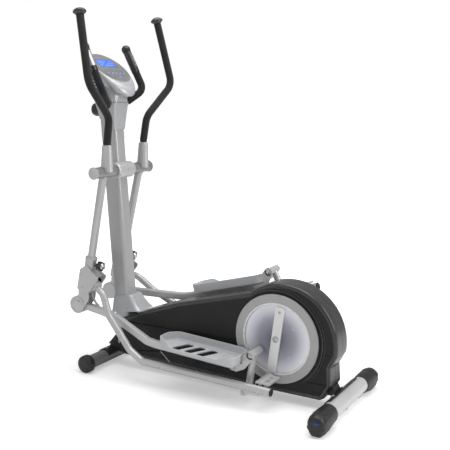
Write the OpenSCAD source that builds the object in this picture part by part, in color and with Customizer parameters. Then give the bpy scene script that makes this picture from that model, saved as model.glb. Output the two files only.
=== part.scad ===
// Front-handle elliptical trainer with a rear crank, as an assembly of separate pieces.
// Frame: X from the front foot to the drive, Y from the left side to the right side, Z up from the floor.
// Side views are drawn in the XZ plane, so a pair [x, z] is a point seen from the left side.

/* [Feet] */
// Distance of the rear foot axis behind the origin
rear_foot_x = 651; // [640:1:660]
// Height of the rear foot axis
rear_foot_z = 52; // [51:0.5:54]
// Radius of the rear foot tube
rear_tube_r = 34.5; // [33:0.5:35.5]
// Half length of the rear foot tube
rear_tube_half = 168; // [160:1:180]
// Half width over the rear end caps
rear_cap_half = 312; // [300:1:325]
// Distance of the front foot axis ahead of the origin
front_foot_x = 543; // [536:1:548]
// Height of the front foot axis
front_foot_z = 41; // [40.5:0.5:41.5]
// Radius of the front foot tube
front_tube_r = 31; // [30:0.5:32]
// Half width over the front end caps
front_cap_half = 226; // [220:1:240]

/* [Mast] */
// Width of the mast along X
mast_w = 82; // [78:1:84]
// Width of the mast along Y
mast_d = 70; // [66:1:72]
// Forward lean of the mast in degrees
mast_lean = 3.88; // [3.7:0.1:4.1]
// Height of the top of the mast
mast_top = 1188; // [1180:1:1192]

/* [Linkage] */
// Height of the shaft that carries the two levers
lever_z = 930; // [926:1:934]
// Distance of that shaft ahead of the origin
lever_x = 469; // [466:1:472]
// Radius of the shaft
shaft_r = 20; // [19:0.5:21]
// Distance of the crank axle behind the origin
crank_x = 365; // [362:1:368]
// Height of the crank axle
crank_z = 273; // [271:1:275]
// Throw of the crank
crank_r = 170; // [165:1:172]
// Crank angle at rest: 0 puts the left pin straight down
crank_rest = -5; // [-7:0.5:-3]
// Distance of the levers from the middle plane
lever_y = 133; // [132:0.5:134]
// Radius of the coupler tube
coupler_r = 16.5; // [15:0.5:17]
// Height of the pedal bar section
bar_h = 34; // [30:1:36]
// Width of the pedal bar section
bar_w = 28; // [26:1:29]

/* [Drive] */
// Half width of the housing
housing_half = 57; // [56:0.5:57.5]
// Radius of the round rear part of the housing
housing_r = 241; // [238:1:243]
// Outer radius of the crank discs
disc_r = 191; // [188:1:193]
// Inner radius of the grey ring on each disc
ring_r = 148; // [140:1:150]
// Radius of the big pulley
pulley_r = 140; // [130:1:142]
// Radius of the small pulley on the flywheel
small_pulley_r = 20; // [18:1:22]
// Radius of the flywheel
flywheel_r = 105; // [95:1:106]
// Radius of the idler wheel
idler_r = 22; // [20:1:24]

/* [Handlebars] */
// Radius of the swinging and fixed handlebar tubes
handle_tube_r = 14; // [13:0.5:14]
// Radius of the foam grips
grip_r = 17; // [16.5:0.5:18]
// Radius of the mushroom caps
cap_r = 29; // [26:0.5:31]

/* [Console] */
// Tilt of the console face in degrees
console_tilt = 38; // [36:1:40]
// Radius of the round face plate
face_r = 87; // [84:1:90]
// Spacing of the buttons in their row
button_gap = 27; // [25:0.5:28]
// Radius of a button
button_r = 4.6; // [4:0.1:5]

/* [Hidden] */
$fn = 48;

// Clearances: a turning fit, a fixed fit, a gap between faces, and the overrun of a cut
run_fit = 0.05;
still_fit = 0.02;
face_gap = 0.5;
cut = 1;
wall = 2.5;

// Places of the linkage, as [x, z]
lever_at = [-lever_x, lever_z];
coupler_at = [-537, 400];
bar_at = [-628, 302];
crank_at = [crank_x, crank_z];
link_low_at = [272, 61];
link_top_at = [294, 217];
flywheel_at = [-165, 212];
idler_at = [0, 146.5];

// ---- plane geometry ----
function turn(p, a) = [p.x * cos(a) - p.y * sin(a), p.x * sin(a) + p.y * cos(a)];
function bearing(v) = atan2(v.y, v.x);
function unit(v) = v / norm(v);
function lift(p, y) = [p.x, y, p.y];
function crank_pin_at(a) = crank_at + crank_r * [sin(a), -cos(a)];
// Point at r0 from c0 and r1 from c1, on the side of the line c0-c1 given by the sign
function meet(c0, r0, c1, r1, side) =
    let (d = norm(c1 - c0), along = (r0 * r0 - r1 * r1 + d * d) / (2 * d),
         across = side * sqrt(r0 * r0 - along * along), u = (c1 - c0) / d)
    c0 + along * u + across * [-u.y, u.x];
function ring(r, n, a0 = 0, a1 = 360) = [for (i = [0 : n - 1]) r * [cos(a0 + (a1 - a0) * i / n),
    sin(a0 + (a1 - a0) * i / n)]];
function arc(c, r, a0, a1, n) = [for (i = [0 : n]) c + r * [cos(a0 + (a1 - a0) * i / n),
    sin(a0 + (a1 - a0) * i / n)]];
// Rectangle w by d with corners rounded in n steps
function round_box(w, d, r, n = 5) = [for (k = [0 : 3]) for (i = [0 : n])
    let (a = 90 * (k + i / n), sx = (k == 0 || k == 3) ? 1 : -1, sy = k < 2 ? 1 : -1)
    [sx * (w / 2 - r) + r * cos(a), sy * (d / 2 - r) + r * sin(a)]];
// Closed outline moved inwards by g; the outline runs anticlockwise
function shrink(pts, g) = let (n = len(pts)) [for (i = [0 : n - 1])
    let (a = unit(pts[i] - pts[(i + n - 1) % n]), b = unit(pts[(i + 1) % n] - pts[i]),
         na = [-a.y, a.x], nb = [-b.y, b.x], k = g / (1 + na * nb))
    pts[i] + k * (na + nb)];

// ---- the right side follows the closed linkage ----
left_pin = crank_pin_at(crank_rest);
right_pin = crank_pin_at(crank_rest + 180);
right_coupler_at = meet(lever_at, norm(coupler_at - lever_at), right_pin, norm(left_pin - coupler_at), -1);
lever_turn = bearing(right_coupler_at - lever_at) - bearing(coupler_at - lever_at);
right_bar_at = lever_at + turn(bar_at - lever_at, lever_turn);
coupler_turn = bearing(right_pin - right_coupler_at) - bearing(left_pin - coupler_at);
right_low_at = right_coupler_at + turn(link_low_at - coupler_at, coupler_turn);
right_top_at = meet(right_bar_at, norm(link_top_at - bar_at),
    right_low_at, norm(link_top_at - link_low_at), 1);
bar_turn = bearing(right_top_at - right_bar_at) - bearing(link_top_at - bar_at);
link_turn = bearing(right_top_at - right_low_at) - bearing(link_top_at - link_low_at);

// ---- shared shapes ----
// Moves what is drawn at point a to point b and turns it there
module posed(a, b, angle) {
    translate([b.x, 0, b.y]) rotate([0, -angle, 0]) translate([-a.x, 0, -a.y]) children();
}
module far_lever() { posed(lever_at, lever_at, lever_turn) mirror([0, 1, 0]) children(); }
module far_coupler() { posed(coupler_at, right_coupler_at, coupler_turn) mirror([0, 1, 0]) children(); }
module far_bar() { posed(bar_at, right_bar_at, bar_turn) mirror([0, 1, 0]) children(); }
module both_sides() {
    children();
    mirror([0, 1, 0]) children();
}
// Cylinder along Y from y0 to y1
module cross(p, y0, y1, r) {
    translate([p.x, y0, p.y]) rotate([-90, 0, 0]) cylinder(h = y1 - y0, r = r);
}
// Plate with a side outline, from y0 to y1
module plate(points, y0, y1) {
    translate([0, y1, 0]) rotate([90, 0, 0]) linear_extrude(y1 - y0) polygon(points);
}
// Cylinder between two points, drawn out past its ends
module rod(a, b, r, over = 0) {
    d = b - a;
    h = norm(d);
    translate(a) rotate([0, acos(d.z / h), atan2(d.y, d.x)])
        translate([0, 0, -over]) cylinder(h = h + 2 * over, r = r);
}
module pipe(a, b, r, inner) {
    difference() {
        rod(a, b, r);
        rod(a, b, inner, cut);
    }
}
// Box of width w and depth d, rounded, along the leaning mast from height z0 to z1
function mast_x(z) = -467 - (z - 341) * tan(mast_lean);
module mast_prism(w, d, z0, z1, r = 16) {
    translate([mast_x(z0), 0, z0]) leaning() linear_extrude(z1 - z0) polygon(round_box(w, d, r));
}
// Turned forwards by the lean of the mast
module leaning() {
    rotate([0, -mast_lean, 0]) children();
}

// ---- bent tubes ----
// Points of a round corner at p1, of radius r, in n steps
function bend(p0, p1, p2, r, n) =
    let (u = unit(p0 - p1), w = unit(p2 - p1), half = acos(u * w) / 2, reach = r / tan(half),
         c = p1 + unit(u + w) * r / sin(half), e0 = unit(p1 + u * reach - c), sweep = 180 - 2 * half)
    [for (i = [0 : n]) let (a = sweep * i / n) c + r * (cos(a) * e0 - sin(a) * u)];
// Path with every inner point rounded
function route(pts, r, n = 5) = [
    pts[0],
    for (i = [1 : len(pts) - 2]) each bend(pts[i - 1], pts[i], pts[i + 1], r, n),
    pts[len(pts) - 1],
];
function run_dir(path, i) = unit(path[i + 1] - path[i]);
// Halfway between the run before point i and the run after it
function path_dir(path, i) = i == 0 ? run_dir(path, 0)
    : i == len(path) - 1 ? run_dir(path, i - 1)
    : unit(run_dir(path, i - 1) + run_dir(path, i));
function skin(path, shape, ref) = [for (i = [0 : len(path) - 1])
    let (t = path_dir(path, i), s = unit(cross(ref, t)), v = cross(t, s))
    for (p = shape) path[i] + p.x * s + p.y * v];
function walls(rings, n, first, flip) = [for (i = [0 : rings - 2]) for (j = [0 : n - 1])
    let (a = first + i * n + j, b = first + i * n + (j + 1) % n, c = b + n, d = a + n)
    each flip ? [[a, c, d], [a, b, c]] : [[a, d, c], [a, c, b]]];
// Solid bar along a path
module sweep(path, shape, ref) {
    n = len(shape);
    last = (len(path) - 1) * n;
    polyhedron(points = skin(path, shape, ref), faces = concat(
        walls(len(path), n, 0, false),
        [[for (j = [0 : n - 1]) j], [for (j = [n - 1 : -1 : 0]) last + j]]));
}
// Tube along a path, with an outer and an inner outline of the same number of points
module sweep_tube(path, shape, bore, ref) {
    n = len(shape);
    m = len(path);
    last = (m - 1) * n;
    polyhedron(points = concat(skin(path, shape, ref), skin(path, bore, ref)), faces = concat(
        walls(m, n, 0, false),
        walls(m, n, m * n, true),
        [for (j = [0 : n - 1]) [j, (j + 1) % n, m * n + (j + 1) % n, m * n + j]],
        [for (j = [0 : n - 1])
            [last + (j + 1) % n, last + j, m * n + last + j, m * n + last + (j + 1) % n]]));
}

// ---- feet and frame ----
beam_half = 30;
beam_low = 62;
beam_top = 100;
beam_end = 606;
front_at = [-front_foot_x, front_foot_z];
rear_at = [rear_foot_x, rear_foot_z];
saddle_wall = 5;
front_saddle_half = 80;
rear_saddle_half = 140;
fork_in = 36;
fork_out = 41;
bearing_r = 26;
axle_r = 12.5;
flywheel_axle_r = 8;
idler_stud_r = 6;
bolt_r = 4;

module saddle(p, r, half) {
    cross(p, -half, half, r + saddle_wall);
}
module hub_fork(x0, x1, p, r, y0, y1) {
    plate([[x0, beam_top - 4], [x1, beam_top - 4], p + [r, 0], p - [r, 0]], y0, y1);
    cross(p, y0, y1, r);
}
module main_frame() color("#1d1e20") {
    difference() {
        union() {
            translate([-front_foot_x, -beam_half, beam_low])
                cube([front_foot_x + beam_end, 2 * beam_half, beam_top - beam_low]);
            // Joint of the beam and the rear saddle, below the bolt heads
            plate([[beam_end - 4, 64], [beam_end - 4, 98], [beam_end, 98], [620, 74], [625, 64]],
                  -beam_half, beam_half);
            saddle(front_at, front_tube_r, front_saddle_half);
            saddle(rear_at, rear_tube_r, rear_saddle_half);
        }
        translate([-front_foot_x + 45, -beam_half + wall, beam_low + wall])
            cube([front_foot_x + beam_end - 50, 2 * (beam_half - wall), beam_top - beam_low - 2 * wall]);
        cross(front_at, -rear_cap_half, rear_cap_half, front_tube_r + still_fit);
        cross(rear_at, -rear_cap_half, rear_cap_half, rear_tube_r + still_fit);
        translate([-front_foot_x - 60, -rear_cap_half, -cut])
            cube([120, 2 * rear_cap_half, front_foot_z + 10]);
        translate([rear_foot_x - 60, -rear_cap_half, -cut]) cube([120, 2 * rear_cap_half, rear_foot_z - 8]);
        translate([rear_foot_x - saddle_wall, -rear_cap_half, 0]) cube([60, 2 * rear_cap_half, 120]);
        foot_bolts(bolt_r + 0.2, 0);
    }
    // Gusset behind the front foot
    plate([[-560, 84], [-500, 152], [-497, 152], [-497, beam_top - 1], [-520, beam_top - 1]], -24, 24);
    // Socket that the mast slides over
    difference() {
        mast_prism(mast_w - 2 * wall - 1, mast_d - 2 * wall - 1, beam_top - 1, 225, 12);
        mast_prism(mast_w - 4 * wall, mast_d - 4 * wall, beam_top + 5, 240, 9);
    }
    // Cross plates that the forks stand on
    translate([295, -fork_out, beam_top - 5]) cube([140, 2 * fork_out, 4]);
    translate([-205, -fork_out, beam_top - 5]) cube([80, 2 * fork_out, 4]);
    // Crank fork with its bearing seats
    difference() {
        union() {
            both_sides() hub_fork(300, 430, crank_at, bearing_r + 8, fork_in, fork_out);
            both_sides() cross(crank_at, 20, fork_out, bearing_r + 8);
        }
        cross(crank_at, -60, 60, bearing_r + still_fit);
    }
    // Flywheel fork
    difference() {
        union() {
            hub_fork(-195, -135, flywheel_at, 16, -20, -14);
            hub_fork(-195, -135, flywheel_at, 16, fork_in, fork_out);
            // Leg under the inner fork plate
            translate([-195, -20, beam_top - 4]) cube([60, 6, 8]);
        }
        cross(flywheel_at, -60, 60, flywheel_axle_r + run_fit);
    }
    // Idler arm and stud
    hub_fork(-14, 14, idler_at, 10, 12, 16);
    cross(idler_at, -8, 13, idler_stud_r);
}
module front_stabilizer() color("#6f7174") {
    difference() {
        cross(front_at, -206, 206, front_tube_r);
        cross(front_at, -207, 207, front_tube_r - 3);
        foot_bolts(bolt_r + 0.2, 0);
    }
}
module rear_stabilizer() color("#c9ccd0") {
    difference() {
        cross(rear_at, -rear_tube_half - 30, rear_tube_half + 30, rear_tube_r);
        cross(rear_at, -rear_tube_half - 31, rear_tube_half + 31, rear_tube_r - 3);
        foot_bolts(bolt_r + 0.2, 0);
    }
}
module front_caps() color("#17181a") {
    both_sides() difference() {
        union() {
            cross(front_at, 190, front_cap_half - 6, front_tube_r + 10);
            cross(front_at, front_cap_half - 7, front_cap_half, front_tube_r + 6);
        }
        cross(front_at, 180, 206 + still_fit, front_tube_r + still_fit);
        translate([-front_foot_x - 60, 180, -60]) cube([120, 60, 60]);
    }
    // Flat pads on the floor
    both_sides() translate([-front_foot_x - 10, 196, 0]) cube([20, 22, 6]);
}
module rear_caps() color("#17181a") {
    both_sides() {
        difference() {
            hull() {
                cross(rear_at, rear_tube_half, rear_tube_half + 20, rear_tube_r + 2.5);
                cross(rear_at, rear_cap_half - 100, rear_cap_half - 20, rear_tube_r + 5);
                cross(rear_at, rear_cap_half - 6, rear_cap_half, rear_tube_r - 8);
            }
            cross(rear_at, rear_tube_half - cut, rear_tube_half + 31, rear_tube_r + still_fit);
        }
        translate([rear_foot_x + 4, rear_cap_half - 42, 0]) cylinder(h = 24, r = 20);
    }
}
// Bolts of a foot: [x, z] of its axis, y, direction in the side view, distance of the head's seat
foot_bolt_places = [
    for (y = [-60, 60]) [front_at, y, 90, front_tube_r + saddle_wall],
    for (y = [-84, 22]) [rear_at, y, 124, rear_tube_r + saddle_wall],
    for (y = [-36, 108]) [rear_at, y, -60, rear_tube_r],
];
module foot_bolts(r, head) {
    for (b = foot_bolt_places) {
        out = [cos(b[2]), 0, sin(b[2])];
        seat = lift(b[0], b[1]) + b[3] * out;
        rod(seat - 22 * out, seat + (head + 0.01) * out, r);
        if (head > 0) rod(seat, seat + head * out, 2.3 * r);
    }
}
module stabilizer_bolts() color("#8d9094") { foot_bolts(bolt_r, 5); }

// ---- mast and its covers ----
collar_r = 37.5;
collar_half = 60;
module mast() color("#b9bcc1") {
    difference() {
        mast_prism(mast_w, mast_d, beam_top + 4, mast_top);
        mast_prism(mast_w - 2 * wall, mast_d - 2 * wall, beam_top - 40, mast_top + 40, 13.5);
        cross(lever_at, -60, 60, shaft_r + still_fit);
    }
    // Clamp for the fixed handlebar, on a plate that closes the top
    difference() {
        union() {
            mast_prism(mast_w - 2 * wall + 0.4, mast_d - 2 * wall + 0.4, mast_top - 6, mast_top + 10, 13.5);
            cross([bar_mid.x, bar_mid.z], -clamp_half, clamp_half, handle_tube_r + 5);
        }
        cross([bar_mid.x, bar_mid.z], -70, 70, handle_tube_r + run_fit);
    }
}
module mast_boot() color("#c9cbcf") {
    difference() {
        hull() {
            plate([[-506, 338], [-400, 361], [-400, 357], [-506, 334]], -45, 45);
            plate([[-516, 307], [-506, 258], [-446, 241.6], [-338, 285], [-345, 291]], -60, 60);
        }
        mast_prism(mast_w + 0.6, mast_d + 0.6, 150, 420, 16);
    }
}
module hub_collars() color("#c4c6c9") {
    both_sides() difference() {
        cross(lever_at, 0.2, collar_half, collar_r);
        cross(lever_at, -cut, collar_half + cut, shaft_r + still_fit);
        mast_prism(mast_w + 0.2, mast_d + 0.2, 840, 1020, 16);
    }
}
module pivot_shaft() color("#8a8d91") {
    difference() {
        cross(lever_at, -203, 203, shaft_r);
        cross(lever_at, -204, 204, shaft_r - 5);
    }
}
module shaft_caps() color("#b6b8b6") {
    both_sides() difference() {
        union() {
            cross(lever_at, 200.6, 206, shaft_r + 8);
            cross(lever_at, 205.9, 209, shaft_r + 4);
        }
        cross(lever_at, 200, 203 + still_fit, shaft_r + still_fit);
    }
}

// ---- drive housing ----
housing_at = [392, 268];
housing_wall = 3;
side_wall = 5;
housing_outline = concat(
    [[-455, 62], [-350, 58], [-150, 55], [343, 40], [560, 40], [579, 52], [608, 107], [603, 182]],
    arc(housing_at, housing_r, -8, 131, 36),
    [[-129, 357], [-283, 304], [-449, 239], [-470, 120]]);
module housing_half_shell() {
    difference() {
        plate(housing_outline, -housing_half, -0.1);
        plate(shrink(housing_outline, housing_wall), -housing_half + side_wall, cut);
        // The side face lies a little below its rim
        plate(shrink(housing_outline, 17), -housing_half - cut, -housing_half + 2.5);
        cross(crank_at, -housing_half - cut, 0, 24);
        // Openings for the mast and for the floor beam
        mast_prism(mast_w + 4, mast_d + 4, 60, 330, 16);
        translate([-480, -fork_out - 2, 0]) cube([160, fork_out + 3, beam_top + 1]);
        translate([560, -beam_half - 2, 0]) cube([80, beam_half + 3, beam_top + 1]);
    }
}
module housing_left() color("#232427") { housing_half_shell(); }
module housing_right() color("#232427") { mirror([0, 1, 0]) housing_half_shell(); }

// ---- crank ----
arm_tilt = -7.9;
plate_y = housing_half + 1.5;
arm_y0 = plate_y + 2.7;
arm_y1 = arm_y0 + 8.8;
arm_half = 21;
function arm_box(r0, r1, half) = [for (p = [[-half, r0], [half, r0], [half, r1], [-half, r1]])
    crank_at + turn(p, arm_tilt)];
module crank_axle() color("#9a9da1") { cross(crank_at, -arm_y1 + 2, arm_y1 - 2, axle_r); }
module crank_bearings() color("#a9acb0") {
    both_sides() difference() {
        cross(crank_at, 22, 36, bearing_r);
        cross(crank_at, 20, 38, axle_r + run_fit);
    }
}
module crank_arms() color("#cfd1d4") {
    difference() {
        union() {
            plate(arm_box(-186, 138, arm_half), -arm_y1, -arm_y0);
            plate(arm_box(-138, 186, arm_half), arm_y0, arm_y1);
        }
        cross(crank_at, -arm_y1 - cut, arm_y1 + cut, axle_r + still_fit);
    }
}
module disc_half(r_low, r_top) {
    difference() {
        union() {
            cross(crank_at, plate_y, plate_y + 2.5, disc_r);
            difference() {
                cross(crank_at, plate_y, arm_y1 - 1, disc_r);
                cross(crank_at, plate_y + 2.5, arm_y1, ring_r);
            }
        }
        cross(crank_at, plate_y - cut, arm_y1, axle_r + 3);
        plate(arm_box(r_low, r_top, arm_half + 0.3), plate_y + 2.5, arm_y1 + cut);
    }
}
module disc_left() color("#a6a8ab") { mirror([0, 1, 0]) disc_half(-187, 139); }
module disc_right() color("#a6a8ab") { disc_half(-139, 187); }
module disc_dishes() color("#b4b3c2") {
    both_sides() difference() {
        cross(crank_at, plate_y + 2.6, plate_y + 4, ring_r - 0.3);
        cross(crank_at, plate_y, arm_y1, axle_r + 8);
        plate(arm_box(-160, 160, arm_half + 0.3), plate_y, arm_y1);
    }
}
module drive_pulley() color("#55585c") {
    difference() {
        union() {
            cross(crank_at, -6, 6, pulley_r);
            both_sides() cross(crank_at, 6, 8, pulley_r + 5);
            cross(crank_at, -18, 18, axle_r + 8);
        }
        cross(crank_at, -20, 20, axle_r + still_fit);
        for (a = [0 : 60 : 300]) cross(crank_at + turn([82, 0], a), -10, 10, 30);
    }
}
// Belt round the big and the small pulley, resting on both
belt_gap = 0.35;
belt_t = 4;
function belt_loop(extra) =
    let (v = flywheel_at - crank_at, b = bearing(v), lean = acos((pulley_r - small_pulley_r) / norm(v)))
    concat(arc(crank_at, pulley_r + extra, b + lean, b + 360 - lean, 40),
           arc(flywheel_at, small_pulley_r + extra, b - lean, b + lean, 12));
module drive_belt() color("#161616") {
    difference() {
        plate(belt_loop(belt_gap + belt_t), -5.5, 5.5);
        plate(belt_loop(belt_gap), -6.5, 6.5);
    }
}
module flywheel() color("#5f6266") {
    difference() {
        union() {
            cross(flywheel_at, 9, 31, flywheel_r);
            cross(flywheel_at, -7, 9, small_pulley_r);
            cross(flywheel_at, -9, -7, small_pulley_r + 5);
            cross(flywheel_at, -22, fork_out + 6, flywheel_axle_r);
        }
        for (a = [0 : 72 : 288]) cross(flywheel_at + turn([62, 0], a), 8, 32, 20);
    }
}
module idler_wheel() color("#3a3c3f") {
    difference() {
        cross(idler_at, -7, 7, idler_r);
        cross(idler_at, -8, 8, idler_stud_r + run_fit);
    }
}
module brake_magnet() color("#7b4a3a") {
    difference() {
        translate([-292, 2, beam_top]) cube([55, 36, 95]);
        cross(flywheel_at, 7, 33, flywheel_r + 4);
        cross(flywheel_at, -cut, 10, 70);
    }
}

// ---- console and fixed handlebar ----
console_at = [-518.6, 0, 1398.6];
bar_mid = [-510, 0, 1210];
clamp_half = 12;
// Corner where the handlebar leaves the clamp line, its bow, and its end
bar_corner = [-510, 34, 1210];
bar_bow = [-451, 153, 1293];
bar_end = [-545, 147, 1478];
// Starts of the foam and of the sensor, on the straight runs between those points
grip_start = bar_corner + 0.36 * (bar_bow - bar_corner);
sensor_start = bar_bow + 0.416 * (bar_end - bar_bow);
module on_console() { translate(console_at) rotate([0, console_tilt, 0]) children(); }
module neck_slab(half_lower, half_upper, g) {
    hull() {
        plate([[-565 + g, 1166], [-479 - g, 1114], [-479 - g, 1118], [-565 + g, 1170]],
              -half_lower, half_lower);
        plate([[-572 + g, 1236], [-472 - g, 1232], [-472 - g, 1236], [-572 + g, 1240]],
              -half_upper, half_upper);
    }
}
module neck_cover() color("#b4b6ba") {
    difference() {
        neck_slab(42, 52, 0);
        neck_slab(38.5, 48.5, 3.5);
        mast_prism(mast_w + 0.6, mast_d + 0.6, 1080, 1200);
        translate([-600, -44, 1232]) cube([160, 88, 20]);
        bar_hole();
    }
}
// Free way for the handlebar through the sides of the neck
module bar_hole() {
    run = bar_bow - bar_corner;
    both_sides() rod(bar_corner - 0.25 * run, bar_corner + 0.45 * run, handle_tube_r + 4.5);
}
module pod(g) {
    hull() {
        on_console() translate([0, 0, lip_z - 2 * g]) cylinder(h = 2, r = face_r + 14 - g, $fn = 32);
        on_console() translate([0, 0, -34]) cylinder(h = 2, r = face_r + 19 - g, $fn = 32);
        on_console() translate([0, 0, -58 + g]) cylinder(h = 2, r = face_r - 4 - g, $fn = 32);
    }
    hull() {
        on_console() translate([-4, 0, -58 + g]) cylinder(h = 6, r = face_r - 10 - g, $fn = 32);
        plate([[-571 + g, 1241 + g], [-473 - g, 1237 + g], [-473 - g, 1243 + g], [-571 + g, 1247 + g]],
              -51 + g, 51 - g);
    }
}
module console_shell() color("#c6c9cd") {
    difference() {
        pod(0);
        pod(3.2);
        bar_hole();
        // Seat of the face plate, and windows behind the display and the buttons
        on_console() translate([0, 0, seat_z]) cylinder(h = 20, r = face_r + 0.4, $fn = 64);
        on_console() translate([display_x + 5, 8 - display_half, seat_z - 8])
            cube([display_l - 10, 2 * display_half - 16, 10]);
        on_console() translate([button_x - 9, -64, seat_z - 8]) cube([button_6_x - button_x + 18, 128, 10]);
    }
}
seat_z = -13;
lip_z = -10.5;
plate_h = 5;
board_z = -18.4;
board_half = 58;
board_t = 1.6;
display_x = -56;
display_l = 51;
display_half = 58;
button_x = 43;
button_6_x = 71;
module console_faceplate() color("#83888b") {
    on_console() difference() {
        translate([0, 0, seat_z + still_fit]) cylinder(h = plate_h, r = face_r, $fn = 64);
        translate([display_x, -display_half, seat_z - cut]) cube([display_l, 2 * display_half, 10]);
        for (k = [1 : 6]) translate([button_place(k).x, button_place(k).y, -14])
            cylinder(h = 10, r = button_r + 0.4);
    }
}
module display() color("#2448d8") {
    on_console() translate([display_x + 0.2, -display_half + 0.2, seat_z + still_fit])
        cube([display_l - 0.4, 2 * display_half - 0.4, plate_h - 0.6]);
}
module console_board() color("#2f6b3c") {
    on_console() translate([-62, -board_half, board_z]) cube([138, 2 * board_half, board_t]);
    for (x = [-56, 25], y = [-board_half + 5, board_half - 5])
        on_console() translate([x, y, board_z + board_t - 0.1]) cylinder(h = 1.8, r = 3);
}
function button_place(k) = k < 6 ? [button_x, (k - 3) * button_gap] : [button_6_x, 0];
module button(k) color("#5aa0e6") {
    on_console() translate([button_place(k).x, button_place(k).y, 0]) {
        translate([0, 0, -12]) cylinder(h = 6.5, r = button_r);
        translate([0, 0, -15]) cylinder(h = 1.5, r = button_r + 2);
        translate([0, 0, -15]) cylinder(h = 4, r = button_r - 1);
    }
}
tube_ring = ring(handle_tube_r, 16);
tube_bore = ring(handle_tube_r - 2, 16);
foam_ring = ring(grip_r, 16);
foam_bore = ring(handle_tube_r + 0.3, 16);
module fixed_handlebar() color("#34363a") {
    elbow = route([bar_mid, bar_corner, bar_bow, bar_end], 45, 5);
    left = [for (i = [len(elbow) - 1 : -1 : 1]) [elbow[i].x, -elbow[i].y, elbow[i].z]];
    sweep_tube(concat(left, elbow), tube_ring, tube_bore, [1, 0, 0]);
}
module fixed_grips() color("#1b1c1e") {
    both_sides()
        sweep_tube(route([grip_start, bar_bow, sensor_start], 45, 5), foam_ring, foam_bore, [1, 0, 0]);
}
module pulse_sensors() color("#26272a") {
    d = unit(bar_end - sensor_start);
    both_sides() {
        pipe(sensor_start + 0.5 * d, bar_end - 8 * d, grip_r + 1.5, handle_tube_r + 0.5);
        difference() {
            translate(bar_end) sphere(r = grip_r + 4);
            rod(bar_end - 40 * d, bar_end + still_fit * d, handle_tube_r + 0.5);
            rod(bar_end - 40 * d, bar_end - 8 * d, grip_r + 8);
        }
    }
}

// ---- swinging levers, drawn for the left side at rest ----
sleeve_in = 62;
sleeve_out = 200;
arm_tube_r = 18;
bracket_top = [-555, 529];
arm_foot = bracket_top + [-15, -70];
handle_foot = [-448, -132, 985];
handle_knee = [-446.5, -132, 1060];
handle_bow = [-403, -296, 1320];
handle_run = [handle_knee, [-430, -133, 1171], handle_bow, [-467, -262, 1602]];
grip_low = handle_foot + 0.89 * (handle_knee - handle_foot);
handle_route = route(concat([handle_foot], handle_run), 70, 6);
grip_route = route(concat([grip_low], handle_run), 70, 6);
arm_way = unit(arm_foot - lever_at);
module upright(w0, d0, w1, d1, z0, z1) {
    hull() {
        translate([-451, -lever_y, z0]) linear_extrude(1) polygon(round_box(w0, d0, d0 / 2 - 1, 4));
        translate([-447, -132, z1]) linear_extrude(1) polygon(round_box(w1, d1, d1 / 2 - 1, 4));
    }
}
module swing_arm() {
    difference() {
        union() {
            cross(lever_at, -sleeve_out, -sleeve_in, shaft_r + 5.5);
            rod(lift(lever_at, -lever_y), lift(arm_foot, -lever_y), arm_tube_r);
            upright(60, 42, 46, 36, lever_z + 2, 1048);
        }
        cross(lever_at, -sleeve_out - cut, -sleeve_in + cut, shaft_r + run_fit);
        rod(lift(lever_at + 24.9 * arm_way, -lever_y), lift(arm_foot + 9 * arm_way, -lever_y),
            arm_tube_r - 2.5);
        upright(54, 36, 2 * handle_tube_r + 3, 2 * handle_tube_r + 3, lever_z + 26, 1049);
    }
}
module swing_arm_left() color("#b9bbbd") { swing_arm(); }
module swing_arm_right() color("#b9bbbd") { far_lever() swing_arm(); }
module handle() { sweep_tube(handle_route, tube_ring, tube_bore, [1, 0, 0]); }
module handle_left() color("#8f9296") { handle(); }
module handle_right() color("#8f9296") { far_lever() handle(); }
module grip() { sweep_tube(grip_route, foam_ring, foam_bore, [1, 0, 0]); }
module grip_left() color("#2b2c2e") { grip(); }
module grip_right() color("#2b2c2e") { far_lever() grip(); }
// Mushroom cap on the end of the tube
module handle_cap() {
    tip = grip_route[len(grip_route) - 1];
    d = unit(tip - handle_bow);
    translate(tip) rotate([0, acos(d.z), atan2(d.y, d.x)]) {
        translate([0, 0, 0.3]) cylinder(h = 9, r1 = grip_r + 1, r2 = cap_r);
        translate([0, 0, 9.2]) cylinder(h = 6, r = cap_r);
        intersection() {
            translate([0, 0, 15.2 + 14 - cap_r * cap_r / 28 - 7]) sphere(r = 7 + cap_r * cap_r / 28);
            translate([0, 0, 15.1]) cylinder(h = 30, r = cap_r);
        }
    }
}
module handle_cap_left() color("#3b4a46") { handle_cap(); }
module handle_cap_right() color("#3b4a46") { far_lever() handle_cap(); }

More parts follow.
